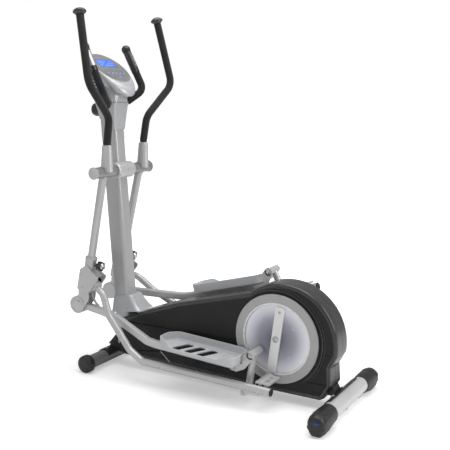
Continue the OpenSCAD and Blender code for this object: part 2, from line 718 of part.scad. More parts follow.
// ---- lower bracket: collar, clevis for the coupler, round housing for the pedal bar ----
bracket_out = -165;
bracket_in = -101;
cheek = 6;
coupler_bolt_r = 8;
bar_bolt_r = 10;
cover_r = 41.5;
knob_z = 495;
knob_x = -515;
upper_cover = [
    [-600, 478], [-622, 381], [-575, 366], [-546, 374], [-500, 432], [-494, 446], [-535, 470], [-560, 500],
];
neck_part = [[-624, 300], [-575, 300], [-545, 346], [-543, 385], [-620, 385]];
coupler_way = [[-556, 392], [-530, 330], [-470, 330], [-470, 428], [-510, 436], [-537, 432], [-560, 412]];
bar_way = [[-634, 266], [-560, 240], [-520, 300], [-530, 354], [-558, 360], [-594, 354], [-634, 344]];
module lower_bracket() {
    top = lift(bracket_top, -lever_y);
    low = top + [-17, 0, -80];
    difference() {
        union() {
            rod(top, low + [-3, 0, -12], arm_tube_r + 8);
            plate(upper_cover, bracket_out, bracket_in);
            plate(neck_part, bracket_out + 6, bracket_in - 6);
            cross(bar_at, bracket_out, bracket_in, cover_r);
            rod([-562, -lever_y, knob_z], [-529, -lever_y, knob_z], 11);
        }
        // Seat of the lever tube
        rod(lift(bracket_top - 40 * arm_way, -lever_y), lift(arm_foot + arm_way, -lever_y),
            arm_tube_r + run_fit);
        // Clevis open to the rear and downwards
        plate(coupler_way, bracket_out + cheek, bracket_in - cheek);
        cross(coupler_at, bracket_out + cheek, bracket_in - cheek, 25);
        // Room for the pedal bar and its barrel
        plate(bar_way, bracket_out + cheek + 3, bracket_in - cheek - 3);
        cross(bar_at, bracket_out + cheek, bracket_in - cheek, cover_r - 5);
        // Hole of the pull pin
        rod([-543, -lever_y, knob_z], [-520, -lever_y, knob_z], 5 + run_fit);
    }
    cross(coupler_at, bracket_out + 1, bracket_in - 1, coupler_bolt_r);
    cross(bar_at, bracket_out + 1, bracket_in - 1, bar_bolt_r);
}
module lower_bracket_left() color("#b5b7b9") { lower_bracket(); }
module lower_bracket_right() color("#b5b7b9") { far_lever() lower_bracket(); }
module pull_knob() {
    along_x = [0, 90, 0];
    translate([-542, -lever_y, knob_z]) rotate(along_x) cylinder(h = 542 + knob_x + 2, r = 5);
    translate([-524, -lever_y, knob_z]) rotate(along_x) cylinder(h = 12, r = 9);
    difference() {
        translate([knob_x, -lever_y, knob_z]) rotate(along_x) cylinder(h = 24, r = 23);
        for (a = [0 : 60 : 300]) translate([knob_x - cut, -lever_y, knob_z]) rotate(along_x)
            rotate([0, 0, a]) translate([27, 0, 0]) cylinder(h = 24 + 2 * cut, r = 9);
    }
    translate([knob_x + 23.9, -lever_y, knob_z]) rotate(along_x) cylinder(h = 8, r = 15);
}
module pull_knob_left() color("#222326") { pull_knob(); }
module pull_knob_right() color("#222326") { far_lever() pull_knob(); }

// ---- couplers with the crank pins ----
barrel_gap = 1;
coupler_end = [406, 92];
coupler_route = route([
    [-519, -137, 389], [-485, -141, 367], [-438, -163, 281], [-309, -181, 144], [-232, -189, 105],
    [coupler_end.x, -192, coupler_end.y],
], 60, 5);
hanger_y = -181;
hanger_side = [[262, 57], [272, 48], [285, 52], [300, 60], [346, 62], [350, 74], [262, 82]];
module coupler() {
    difference() {
        union() {
            cross(coupler_at, bracket_out + cheek + barrel_gap, bracket_in - cheek - barrel_gap, 20);
            sweep_tube(coupler_route, ring(coupler_r, 16), ring(coupler_r - 2.5, 16), [0, 1, 0]);
            // Bearing housing of the crank pin
            cross(left_pin, -178, -79, 23);
            plate([for (p = [[-19, 14], [48, 14], [48, 25], [-19, 25]]) left_pin + p], -182, -88);
        }
        cross(coupler_at, bracket_out, bracket_in, coupler_bolt_r + run_fit);
        cross(left_pin, -170, -70, 10 + still_fit);
    }
    // Hanger of the rear link
    difference() {
        union() {
            plate(hanger_side, hanger_y - 3, hanger_y + 3);
            cross(link_low_at, hanger_y - 3, hanger_y + 3, 13);
        }
        cross(link_low_at, hanger_y - 4, hanger_y + 4, 4);
    }
    // Stub pin behind the hanger; it stops short of the link
    cross(link_low_at, hanger_y + 2.9, link_out_y - face_gap, 9);
}
module coupler_left() color("#d3d5d7") { coupler(); }
module coupler_right() color("#d3d5d7") { far_coupler() coupler(); }
module crank_pin() { cross(left_pin, -169, -arm_y1 - face_gap, 10); }
module crank_pin_left() color("#85888c") { crank_pin(); }
module crank_pin_right() color("#85888c") { far_coupler() crank_pin(); }

// ---- rear links ----
link_y = 129;
link_r = 15;
link_out_y = -link_y - 16;
link_bolt_r = 8;
// sleeve_a and sleeve_b are the ends of the upper sleeve along Y
module rear_link(sleeve_a, sleeve_b) {
    difference() {
        union() {
            rod(lift(link_low_at, -link_y), lift(link_top_at, -link_y), link_r);
            cross(link_top_at, sleeve_a, sleeve_b, 16);
            cross(link_low_at, link_out_y, link_out_y + 32, 16);
        }
        cross(link_top_at, sleeve_a - cut, sleeve_b + cut, link_bolt_r + run_fit);
        rod(lift(link_low_at, -link_y) + [2.6, 0, 18], lift(link_top_at, -link_y) - [1.6, 0, 11.4],
            link_r - 3);
    }
}
left_plate_y = -160;
right_plate_y = -81;
plate_t = 6;
sleeve_l = 82;
module rear_link_left() color("#a9abae") {
    rear_link(left_plate_y + plate_t + 0.5, left_plate_y + plate_t + 0.5 + sleeve_l);
}
module rear_link_right() color("#a9abae") {
    posed(link_low_at, right_low_at, link_turn) mirror([0, 1, 0])
        rear_link(right_plate_y - 0.5 - sleeve_l, right_plate_y - 0.5);
}

// ---- pedal bars and pedals ----
bar_route = route([
    [-604, -133, 297], [-570, -130, 291], [-470, -115, 268], [-405, -119, 247], [-232, -149, 189],
    [-187, -152, 183.5], [222, -152, 160.5],
], 50, 4);
pedal_slope = 3.3;
bolt_l = 78;
function bar_box(g) = round_box(bar_h - 2 * g, bar_w - 2 * g, 6 - g, 2);
// The clevis plate runs under the pedal and rises behind it
clevis_side = [
    [196, 141], [228, 136], [266, 153], [309, 203], [281, 232],
    [258, 212], [257, 174], [215, 172], [200, 168],
];
// plate_low is the lower Y face of the clevis plate
module pedal_bar(plate_low) {
    difference() {
        union() {
            cross(bar_at, bracket_out + cheek + barrel_gap, bracket_in - cheek - barrel_gap, 28);
            sweep_tube(bar_route, bar_box(0), bar_box(2.5), [0, 1, 0]);
        }
        cross(bar_at, bracket_out, bracket_in, bar_bolt_r + run_fit);
    }
    // Clevis plate with its bolt
    difference() {
        union() {
            plate(clevis_side, plate_low, plate_low + plate_t);
            cross(link_top_at, plate_low, plate_low + plate_t, 19);
        }
        cross(link_top_at, plate_low - cut, plate_low + plate_t + cut, 4);
    }
    // The bolt points away from the plate, into the sleeve of the link
    inboard = plate_low > -lever_y;
    bolt_low = inboard ? plate_low + 0.1 - bolt_l : plate_low + plate_t - 0.1;
    cross(link_top_at, bolt_low, bolt_low + bolt_l, link_bolt_r);
    if (inboard) plate([[196, 141], [222, 138], [240, 153], [240, 160], [200, 160]], -140, plate_low + 0.1);
}
module pedal_bar_left() color("#a7a9ac") { pedal_bar(left_plate_y); }
module pedal_bar_right() color("#a7a9ac") { far_bar() pedal_bar(right_plate_y); }

pedal_x = 54;
pedal_z = 188;
pedal_l = 396;
pedal_in = -78;
pedal_out = -228;
pedal_floor = 5;
pedal_wall = 38;
// Plan outline of the pedal, inset by g
function pedal_plan(g) = shrink([
    [-pedal_l / 2, pedal_out + 42], [-pedal_l / 2 + 72, pedal_out], [pedal_l / 2 - 14, pedal_out],
    [pedal_l / 2, pedal_out + 14], [pedal_l / 2, pedal_in - 30], [pedal_l / 2 - 30, pedal_in],
    [-pedal_l / 2 + 40, pedal_in], [-pedal_l / 2, pedal_in - 40],
], g);
module pedal() {
    translate([pedal_x, 0, pedal_z]) rotate([0, pedal_slope, 0]) difference() {
        linear_extrude(pedal_wall) polygon(pedal_plan(0));
        translate([0, 0, pedal_floor]) linear_extrude(pedal_wall) polygon(pedal_plan(4));
        // The outer wall dips in the middle
        translate([-pedal_l / 2 + 60, pedal_out - 5, 16]) cube([pedal_l - 140, 20, pedal_wall]);
        // Three slanted slots in the tread
        for (k = [-1 : 1]) translate([-30 + 62 * k, -160, -cut]) linear_extrude(20)
            polygon([[-26, -22], [6, -26], [30, 22], [0, 26]]);
    }
}
module pedal_left() color("#c3c5c7") { pedal(); }
module pedal_right() color("#c3c5c7") { far_bar() pedal(); }

main_frame();
front_stabilizer();
rear_stabilizer();
front_caps();
rear_caps();
stabilizer_bolts();
mast();
mast_boot();
housing_left();
housing_right();
pivot_shaft();
shaft_caps();
hub_collars();
neck_cover();
console_shell();
console_faceplate();
display();
console_board();
fixed_handlebar();
fixed_grips();
pulse_sensors();
crank_bearings();
brake_magnet();
drive_belt();
crank_axle();
crank_arms();
drive_pulley();
disc_left();
disc_right();
disc_dishes();
flywheel();
idler_wheel();
swing_arm_left();
swing_arm_right();
handle_left();
handle_right();
grip_left();
grip_right();
handle_cap_left();
handle_cap_right();
lower_bracket_left();
lower_bracket_right();
pull_knob_left();
pull_knob_right();
coupler_left();
coupler_right();
crank_pin_left();
crank_pin_right();
rear_link_left();
rear_link_right();
pedal_bar_left();
pedal_bar_right();
pedal_left();
pedal_right();
button(1);  // button_1
button(2);  // button_2
button(3);  // button_3
button(4);  // button_4
button(5);  // button_5
button(6);  // button_6
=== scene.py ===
"""Visual model of an elliptical trainer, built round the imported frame.

Frame as in the CAD: X from the front foot to the drive, Y from the left side to the right, Z up.
Shapes are given in millimetres and built in metres. A pair (x, z) is a point seen from the left.
"""
from math import acos, atan2, cos, degrees, pi, radians, sin, sqrt, tan

import bmesh
import bpy
from mathutils import Matrix, Vector


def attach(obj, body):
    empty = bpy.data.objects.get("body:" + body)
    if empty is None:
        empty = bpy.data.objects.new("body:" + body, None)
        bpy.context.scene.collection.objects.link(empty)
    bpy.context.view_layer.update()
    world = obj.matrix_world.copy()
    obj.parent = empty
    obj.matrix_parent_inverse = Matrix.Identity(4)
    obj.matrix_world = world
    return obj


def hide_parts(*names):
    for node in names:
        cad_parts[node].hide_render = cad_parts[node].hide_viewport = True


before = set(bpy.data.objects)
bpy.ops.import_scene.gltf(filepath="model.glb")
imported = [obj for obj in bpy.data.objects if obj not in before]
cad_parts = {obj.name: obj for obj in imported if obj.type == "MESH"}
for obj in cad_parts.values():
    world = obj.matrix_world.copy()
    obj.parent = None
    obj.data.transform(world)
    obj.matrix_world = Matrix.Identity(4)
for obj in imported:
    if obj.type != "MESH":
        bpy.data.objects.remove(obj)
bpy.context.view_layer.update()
MM = 0.001
LEFTWARD = Vector((0, -1, 0))

# ---------------------------------------------------------------- camera
camera_data = bpy.data.cameras.new("camera")
camera_data.lens, camera_data.sensor_width = 61.34, 36.0
camera = bpy.data.objects.new("camera", camera_data)
camera.location = (1.7263, -2.8052, 1.2874)
camera.rotation_euler = (radians(90 - 9.914), 0, radians(30.39))
bpy.context.scene.collection.objects.link(camera)
bpy.context.scene.camera = camera
bpy.context.scene.view_settings.view_transform = "Standard"


# ---------------------------------------------------------------- materials
COAT_ROUGHNESS = 0.22


def new_material(name):
    mat = bpy.data.materials.new(name)
    mat.use_nodes = True
    tree = mat.node_tree
    tree.nodes.clear()
    out = tree.nodes.new("ShaderNodeOutputMaterial")
    shader = tree.nodes.new("ShaderNodeBsdfPrincipled")
    tree.links.new(shader.outputs[0], out.inputs[0])
    place = tree.nodes.new("ShaderNodeTexCoord")
    return mat, tree, shader, place.outputs["Object"]


def noise(tree, place, scale, detail=3.0):
    node = tree.nodes.new("ShaderNodeTexNoise")
    node.inputs["Scale"].default_value = scale
    node.inputs["Detail"].default_value = detail
    tree.links.new(place, node.inputs["Vector"])
    return node.outputs["Fac"]


def ramp(tree, value, *stops):
    node = tree.nodes.new("ShaderNodeValToRGB")
    elements = node.color_ramp.elements
    while len(elements) < len(stops):
        elements.new(0.5)
    for element, (at, colour) in zip(elements, stops):
        element.position = at
        element.color = (*colour, 1)
    tree.links.new(value, node.inputs["Fac"])
    return node.outputs["Color"]


def spread(tree, value, low, high, a=0.3, b=0.7):
    node = tree.nodes.new("ShaderNodeMapRange")
    for key, number in (("From Min", a), ("From Max", b), ("To Min", low), ("To Max", high)):
        node.inputs[key].default_value = number
    tree.links.new(value, node.inputs["Value"])
    return node.outputs["Result"]


def bump(tree, shader, height, strength, distance=0.0003):
    node = tree.nodes.new("ShaderNodeBump")
    node.inputs["Strength"].default_value = strength
    node.inputs["Distance"].default_value = distance
    tree.links.new(height, node.inputs["Height"])
    tree.links.new(node.outputs["Normal"], shader.inputs["Normal"])


def surface(name, dark, light, rough, metallic=0.0, cloud=7.0, grain=700.0, relief=0.05, coat=0.0,
        specular=0.5):
    """Mottled colour, uneven gloss and a fine grain. A number for a colour is a grey."""
    dark, light = (grey(c) if isinstance(c, float) else c for c in (dark, light))
    mat, tree, shader, place = new_material(name)
    tree.links.new(ramp(tree, noise(tree, place, cloud), (0.32, dark), (0.68, light)),
        shader.inputs["Base Color"])
    tree.links.new(spread(tree, noise(tree, place, cloud * 3, 2.0), rough[0], rough[1]),
        shader.inputs["Roughness"])
    bump(tree, shader, noise(tree, place, grain, 2.0), relief)
    shader.inputs["Metallic"].default_value = metallic
    shader.inputs["Coat Weight"].default_value = coat
    shader.inputs["Coat Roughness"].default_value = COAT_ROUGHNESS
    shader.inputs["Specular IOR Level"].default_value = specular
    return mat


def grey(v, tint=(1.0, 1.0, 1.0)):
    return tuple(v * t for t in tint)


COOL = (0.985, 1.0, 1.03)
SILVER = surface("silver_paint", 0.57, 0.60, (0.30, 0.33), 0.35, relief=0.03, coat=0.25)
BRIGHT = surface("bright_silver_paint", 0.52, 0.55, (0.27, 0.30), 0.35, relief=0.012, coat=0.3)
FOOT_TUBE = surface("rear_tube_paint", 0.64, 0.67, (0.31, 0.34), 0.3, relief=0.03, coat=0.2)
DARK_METAL = surface("dark_metallic_paint", 0.30, 0.33, (0.28, 0.31), 0.5, relief=0.04, coat=0.3)
FRONT_TUBE = surface("front_tube_paint", 0.19, 0.23, (0.36, 0.48), 0.3, relief=0.04)
SATIN = surface("satin_collar_paint", 0.58, 0.64, (0.32, 0.42), 0.4, relief=0.04)
MAST = surface("mast_paint", 0.48, 0.51, (0.32, 0.35), 0.35, relief=0.03, coat=0.2)
FRAME_BLACK = surface("black_frame_paint", 0.012, 0.018, (0.36, 0.50), relief=0.08)
CHROME = surface("chromed_steel", 0.62, 0.74, (0.10, 0.20), 1.0, relief=0.02)
ZINC = surface("zinc_plated_steel", 0.46, 0.60, (0.24, 0.40), 1.0, cloud=40, relief=0.05)
IRON = surface("cast_iron", 0.12, 0.17, (0.45, 0.62), 0.8, cloud=30, relief=0.25)
COPPER = surface("magnet_winding", (0.30, 0.12, 0.07), (0.42, 0.18, 0.10), (0.4, 0.6), 0.2, cloud=60)
BLACK_PLASTIC = surface("moulded_black_plastic", 0.014, 0.022, (0.34, 0.48), grain=1400, relief=0.12)
GLOSS_BLACK = surface("gloss_black_plastic", grey(0.010, (0.9, 1.0, 0.97)), grey(0.018, (0.9, 1.0, 0.97)),
    (0.12, 0.22), relief=0.02, coat=0.4)
CAP_GREEN = surface("dark_green_black_plastic", grey(0.020, (0.8, 1.0, 0.95)),
    grey(0.032, (0.8, 1.0, 0.95)), (0.10, 0.20), relief=0.02, coat=0.5)
HOUSING = surface("charcoal_housing_plastic", 0.022, 0.030, (0.20, 0.28), grain=1500, relief=0.08,
    coat=0.25, specular=0.6)
HOUSING_SIDE = surface("housing_side_texture", 0.014, 0.018, (0.42, 0.55), grain=1700, relief=0.20,
    specular=0.3)
# Near-black painted shadow, laid in gaps, slots and hollows where there is only shade.
SHADOW_BLACK = surface("painted_shadow_black", 0.004, 0.007, (0.6, 0.8), relief=0.1, specular=0.2)
SILVER_PLASTIC = surface("silver_plastic", grey(0.53, COOL), grey(0.56, COOL), (0.27, 0.30), 0.25,
    grain=400, relief=0.012, coat=0.25)
FACE_GREY = surface("console_face_film", grey(0.205, COOL), grey(0.225, COOL), (0.32, 0.42), grain=1600,
    relief=0.03)
FACE_DARK = surface("console_key_panel", grey(0.18, COOL), grey(0.20, COOL), (0.30, 0.40), relief=0.03)
BUTTON_BLUE = surface("blue_rubber_button", (0.22, 0.42, 0.80), (0.30, 0.52, 0.90), (0.22, 0.34),
    relief=0.05)
BADGE_BLUE = surface("blue_inlay", (0.02, 0.05, 0.42), (0.03, 0.07, 0.50), (0.2, 0.3), relief=0.02)
DISC_GREY = surface("disc_grey_plastic", 0.42, 0.47, (0.32, 0.42), 0.15, grain=1300, relief=0.05)
# Pale grey that paints the highlight line on the inner bevel of the disc ring.
DISC_RIM_HIGHLIGHT = surface("disc_rim_painted_highlight", 0.78, 0.84, (0.22, 0.32), 0.25, relief=0.02)
ARM_PAINT = surface("crank_arm_paint", 0.82, 0.86, (0.28, 0.31), 0.2, relief=0.03)
TRAY = surface("pedal_grey_plastic", grey(0.56, COOL), grey(0.62, COOL), (0.40, 0.52), grain=1000,
    relief=0.15)
BELT = surface("ribbed_rubber", 0.010, 0.016, (0.6, 0.75), relief=0.3)
BOARD = surface("circuit_board", (0.02, 0.12, 0.05), (0.03, 0.17, 0.07), (0.4, 0.5), cloud=200)


def foam_material(name, value):
    mat, tree, shader, place = new_material(name)
    tree.links.new(ramp(tree, noise(tree, place, 14.0), (0.3, grey(value)), (0.7, grey(value * 1.5))),
        shader.inputs["Base Color"])
    pores = tree.nodes.new("ShaderNodeTexVoronoi")
    pores.inputs["Scale"].default_value = 900.0
    tree.links.new(place, pores.inputs["Vector"])
    bump(tree, shader, pores.outputs["Distance"], 0.35, 0.0006)
    tree.links.new(spread(tree, pores.outputs["Distance"], 0.62, 0.85, 0.0, 0.6),
        shader.inputs["Roughness"])
    shader.inputs["Sheen Weight"].default_value = 0.15
    shader.inputs["Specular IOR Level"].default_value = 0.3
    return mat


FOAM = foam_material("fixed_grip_foam", 0.010)
SWING_FOAM = foam_material("swing_grip_foam", 0.016)


def shaded_dish_material():
    """Pale lavender, with painted shade darkening it towards the middle of the dish as on a shallow cone,
    and a painted highlight making the rim near white.
    """
    mat, tree, shader, place = new_material("lavender_dish_painted_shade")
    shift = tree.nodes.new("ShaderNodeVectorMath")
    shift.operation = "SUBTRACT"
    shift.inputs[1].default_value = (CRANK.x * MM, 0, CRANK.y * MM)
    flat = tree.nodes.new("ShaderNodeVectorMath")
    flat.operation = "MULTIPLY"
    flat.inputs[1].default_value = (1, 0, 1)
    away = tree.nodes.new("ShaderNodeVectorMath")
    away.operation = "LENGTH"
    tree.links.new(place, shift.inputs[0])
    tree.links.new(shift.outputs[0], flat.inputs[0])
    tree.links.new(flat.outputs[0], away.inputs[0])
    part = spread(tree, away.outputs["Value"], 0.0, 1.0, 0.02, 0.15)
    # Painted shade darkens the middle; the near-white outer stops are a painted highlight at the rim.
    tree.links.new(ramp(tree, part, (0.0, (0.15, 0.15, 0.19)), (0.5, (0.36, 0.36, 0.43)),
        (0.86, (0.80, 0.80, 0.87)), (1.0, (0.95, 0.95, 0.99))), shader.inputs["Base Color"])
    tree.links.new(spread(tree, noise(tree, place, 40.0), 0.28, 0.4), shader.inputs["Roughness"])
    bump(tree, shader, noise(tree, place, 1300.0), 0.03)
    shader.inputs["Metallic"].default_value = 0.25
    return mat


def screen_material():
    mat, tree, shader, place = new_material("blue_display")
    lit = ramp(tree, noise(tree, place, 18.0), (0.3, (0.03, 0.10, 0.62)), (0.7, (0.05, 0.15, 0.78)))
    tree.links.new(lit, shader.inputs["Base Color"])
    tree.links.new(lit, shader.inputs["Emission Color"])
    shader.inputs["Emission Strength"].default_value = 0.55
    tree.links.new(spread(tree, noise(tree, place, 60.0), 0.08, 0.16), shader.inputs["Roughness"])
    return mat


# ---------------------------------------------------------------- plane geometry
def turned(p, degrees):
    a = radians(degrees)
    return Vector((p.x * cos(a) - p.y * sin(a), p.x * sin(a) + p.y * cos(a)))


def bearing(v):
    return degrees(atan2(v.y, v.x))


def meet(c0, r0, c1, r1, side):
    """The point at r0 from c0 and r1 from c1, on one side of the line between them."""
    d = (c1 - c0).length
    along = (r0 * r0 - r1 * r1 + d * d) / (2 * d)
    across = side * sqrt(r0 * r0 - along * along)
    u = (c1 - c0) / d
    return c0 + along * u + across * Vector((-u.y, u.x))


def arc(centre, r, a0, a1, n):
    return [centre + turned(Vector((r, 0)), a0 + (a1 - a0) * i / n) for i in range(n + 1)]


def at(p, y):
    return Vector((p[0], y, p[1]))


def ray(degrees):
    """Unit vector in the side view."""
    return Vector((cos(radians(degrees)), 0, sin(radians(degrees))))


def circle(r, n=32):
    return [(r * cos(2 * pi * i / n), r * sin(2 * pi * i / n)) for i in range(n)]


def round_box(w, d, r, n=6):
    points = []
    for k, (sx, sy) in enumerate(((1, 1), (-1, 1), (-1, -1), (1, -1))):
        for i in range(n + 1):
            a = pi / 2 * (k + i / n)
            points.append((sx * (w / 2 - r) + r * cos(a), sy * (d / 2 - r) + r * sin(a)))
    return points


def fillet(points, radius, n=5, loop=True):
    """Rounds the corners of a path or closed outline, in two or three dimensions."""
    points = [Vector(p) for p in points]
    m = len(points)
    out = []
    for i, p in enumerate(points):
        if not loop and i in (0, m - 1):
            out.append(p)
            continue
        back, on = points[i - 1] - p, points[(i + 1) % m] - p
        u, w = back.normalized(), on.normalized()
        half = acos(max(-1.0, min(1.0, u.dot(w)))) / 2
        if half > radians(88):
            out.append(p)
            continue
        share = 0.48 if loop or 1 < i < m - 2 else 0.9
        reach = min(radius / tan(half), share * back.length, share * on.length)
        r = reach * tan(half)
        centre = p + (u + w).normalized() * r / sin(half)
        e = (p + u * reach - centre).normalized()
        for k in range(n + 1):
            a = (pi - 2 * half) * k / n
            out.append(centre + r * (cos(a) * e - sin(a) * u))
    return out


def shrink(outline, gap):
    """A closed anticlockwise outline moved inwards."""
    out = []
    for i, p in enumerate(outline):
        a = (p - outline[i - 1]).normalized()
        b = (outline[(i + 1) % len(outline)] - p).normalized()
        na, nb = Vector((-a.y, a.x)), Vector((-b.y, b.x))
        out.append(p + gap / (1 + na.dot(nb)) * (na + nb))
    return out


# ---------------------------------------------------------------- the linkage at rest
LEVER, COUPLER, BAR = Vector((-469, 930)), Vector((-537, 400)), Vector((-628, 302))
CRANK, LINK_LOW, LINK_TOP = Vector((365, 273)), Vector((272, 61)), Vector((294, 217))
PIN = CRANK + 170 * Vector((sin(radians(-5)), -cos(radians(-5))))
RIGHT_PIN = 2 * CRANK - PIN
R_COUPLER = meet(LEVER, (COUPLER - LEVER).length, RIGHT_PIN, (PIN - COUPLER).length, -1)
LEVER_TURN = bearing(R_COUPLER - LEVER) - bearing(COUPLER - LEVER)
R_BAR = LEVER + turned(BAR - LEVER, LEVER_TURN)
COUPLER_TURN = bearing(RIGHT_PIN - R_COUPLER) - bearing(PIN - COUPLER)
R_LOW = R_COUPLER + turned(LINK_LOW - COUPLER, COUPLER_TURN)
R_TOP = meet(R_BAR, (LINK_TOP - BAR).length, R_LOW, (LINK_TOP - LINK_LOW).length, 1)
BAR_TURN = bearing(R_TOP - R_BAR) - bearing(LINK_TOP - BAR)
LINK_TURN = bearing(R_TOP - R_LOW) - bearing(LINK_TOP - LINK_LOW)
MIRROR = Matrix.Diagonal((1, -1, 1, 1))


def posed(a, b, degrees):
    """Mirrored to the right side, with the point drawn at a brought to b and turned there."""
    return (Matrix.Translation(at(b, 0) * MM) @ Matrix.Rotation(-radians(degrees), 4,
        "Y") @ Matrix.Translation(at(a, 0) * -MM) @ MIRROR)


FAR_LEVER = posed(LEVER, LEVER, LEVER_TURN)
PLACES = {"left": dict.fromkeys(("lever", "knob", "coupler", "link", "pedal", "frame", "crank")),
    "right": {"lever": FAR_LEVER, "knob": FAR_LEVER, "coupler": posed(COUPLER, R_COUPLER, COUPLER_TURN),
    "link": posed(LINK_LOW, R_LOW, LINK_TURN), "pedal": posed(BAR, R_BAR, BAR_TURN), "frame": MIRROR,
    "crank": MIRROR},}


# ---------------------------------------------------------------- solids
class Solid:
    """Closed shells, gathered in millimetres."""

    def __init__(self):
        self.points = []
        self.faces = []

    def loft(self, rings, loop=False):
        n = len(rings[0])
        starts = []
        for ring in rings:
            starts.append(len(self.points))
            self.points += [Vector(p) for p in ring]
        pairs = list(zip(starts, starts[1:]))
        if loop:
            pairs.append((starts[-1], starts[0]))
        else:
            self.faces.append([starts[0] + j for j in reversed(range(n))])
            self.faces.append([starts[-1] + j for j in range(n)])
        for a, b in pairs:
            self.faces += [(a + j, a + (j + 1) % n, b + (j + 1) % n, b + j) for j in range(n)]
        return self

    def prism(self, outline, y0, y1):
        return self.loft([[at(p, y) for p in outline] for y in (y0, y1)])

    def lathe(self, profile, origin, axis=LEFTWARD, steps=40, loop=False):
        """profile holds (distance along the axis, radius)."""
        t = Vector(axis).normalized()
        s = t.orthogonal().normalized()
        v = t.cross(s)
        turn = [2 * pi * i / steps for i in range(steps)]
        return self.loft([[Vector(origin) + t * h + r * (cos(a) * s + sin(a) * v) for a in turn]
            for h, r in profile], loop)

    def sweep(self, path, shape, ref, scale=None):
        rings = []
        for i, p in enumerate(path):
            before = (p - path[i - 1]).normalized() if i else Vector()
            after = (path[i + 1] - p).normalized() if i < len(path) - 1 else Vector()
            t = (before + after).normalized()
            s = Vector(ref).cross(t).normalized()
            v = t.cross(s)
            k = scale[i] if scale else 1.0
            rings.append([p + k * (x * s + y * v) for x, y in shape])
        return self.loft(rings)

    def rod(self, a, b, r, steps=32):
        a, b = Vector(a), Vector(b)
        return self.lathe([(0, r), ((b - a).length, r)], a, b - a, steps)

    def join(self, other, place=None):
        first = len(self.points)
        self.points += [place @ p if place else p for p in other.points]
        self.faces += [[first + j for j in f] for f in other.faces]
        return self


def turned_shape(*profile, **more):
    return Solid().lathe(*profile, **more)


def dome(h0, r, edge, h1, n=5):
    """Profile of a round edge from radius r at h0 to radius r - edge at h1."""
    return [(h0 + (h1 - h0) * sin(pi / 2 * i / n), r - edge * (1 - cos(pi / 2 * i / n)))
        for i in range(n + 1)]


def build(name, solid, body, material, slot, nodes=(), bevel=0.0, place=None, angle=32, cuts=()):
    mesh = bpy.data.meshes.new(name)
    mesh.from_pydata([p * MM for p in solid.points], [], solid.faces)
    piece = bpy.data.objects.new(name, mesh)
    bpy.context.scene.collection.objects.link(piece)
    tools = []
    for i, cut in enumerate(cuts):
        shape = bpy.data.meshes.new(f"{name}_cut")
        shape.from_pydata([p * MM for p in cut.points], [], cut.faces)
        clean(shape)
        tools.append(bpy.data.objects.new(f"{name}_cut{i}", shape))
        bpy.context.scene.collection.objects.link(tools[-1])
        step = piece.modifiers.new(f"cut{i}", "BOOLEAN")
        step.object, step.operation, step.solver = tools[-1], "DIFFERENCE", "EXACT"
    clean(mesh)
    if bevel:
        step = piece.modifiers.new("bevel", "BEVEL")
        step.width, step.segments, step.limit_method = bevel * MM, 3, "ANGLE"
        step.angle_limit = radians(40)
    if bevel or cuts:
        bpy.context.view_layer.update()
        done = bpy.data.meshes.new_from_object(piece.evaluated_get(bpy.context.evaluated_depsgraph_get()))
        piece.modifiers.clear()
        piece.data = done
        bpy.data.meshes.remove(mesh)
        mesh = done
        mesh.name = name
    for tool in tools:
        bpy.data.objects.remove(tool)
    if place is not None:
        mesh.transform(place)
        clean(mesh)
    for face in mesh.polygons:
        face.use_smooth = True
    mesh.set_sharp_from_angle(angle=radians(angle))
    piece.modifiers.new("normals", "WEIGHTED_NORMAL").keep_sharp = True
    mesh.materials.clear()
    mesh.materials.append(material)
    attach(piece, body)
    if nodes:
        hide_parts(*nodes)
    return piece


def clean(mesh):
    bm = bmesh.new()
    bm.from_mesh(mesh)
    bmesh.ops.remove_doubles(bm, verts=bm.verts, dist=1e-6)
    bmesh.ops.recalc_face_normals(bm, faces=bm.faces)
    bm.to_mesh(mesh)
    bm.free()


def pair(name, shape, group, material, slot, nodes=(), **options):
    """The same shape on the left and, carried over by the linkage, on the right."""
    pieces = []
    for side in ("left", "right"):
        body = group if group in ("frame", "crank") else f"{group}_{side}"
        given = [n if group in ("frame", "crank") else f"{n}_{side}" for n in nodes]
        pieces.append(build(f"{name}_{side}", shape() if callable(shape) else shape, body, material, slot,
            given, place=PLACES[side][group], **options))
    return pieces


def bolt(origin, axis, r=6.0, h=4.0, socket=True):
    """Domed head on a washer."""
    head = turned_shape([(0, r * 1.35), (1.0, r * 1.35), (1.2, r * 1.2), (1.2, r)] + dome(h * 0.5, r,
        r * 0.7, h), origin, axis, 24)
    if socket:
        head.lathe([(h - 0.4, r * 0.28), (h + 0.15, r * 0.26)], origin, axis, 6)
    return head


# ---------------------------------------------------------------- CAD nodes that keep their shape
KEPT = {"main_frame": FRAME_BLACK, "front_stabilizer": FRONT_TUBE, "rear_stabilizer": FOOT_TUBE,
    "pivot_shaft": ZINC, "console_board": BOARD, "crank_bearings": ZINC, "brake_magnet": COPPER,
    "drive_belt": BELT, "crank_axle": ZINC, "drive_pulley": BLACK_PLASTIC, "flywheel": IRON,
    "idler_wheel": BLACK_PLASTIC, "crank_pin_left": ZINC, "crank_pin_right": ZINC,
    "console_faceplate": FACE_GREY,}
for kept, material in KEPT.items():
    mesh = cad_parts[kept].data
    mesh.materials.clear()
    mesh.materials.append(material)

# ---------------------------------------------------------------- feet
FRONT_FOOT, REAR_FOOT = Vector((-543, 41)), Vector((651, 52))


def front_cap():
    profile = [(190, 31.5), (190, 40.2), (191.5, 41.0), (199, 41.0), (200, 40.0), (201.5, 40.0),
        (202.5, 41.0), (212, 41.0)] + [(212 + h, r) for h, r in dome(0, 41.0, 6.0, 10.0)] + [(223.5, 30),
        (226, 26)]
    return turned_shape(profile, at(FRONT_FOOT, 0), steps=56)


pair("front_cap", front_cap, "frame", BLACK_PLASTIC, "black_plastic", ["front_caps"])


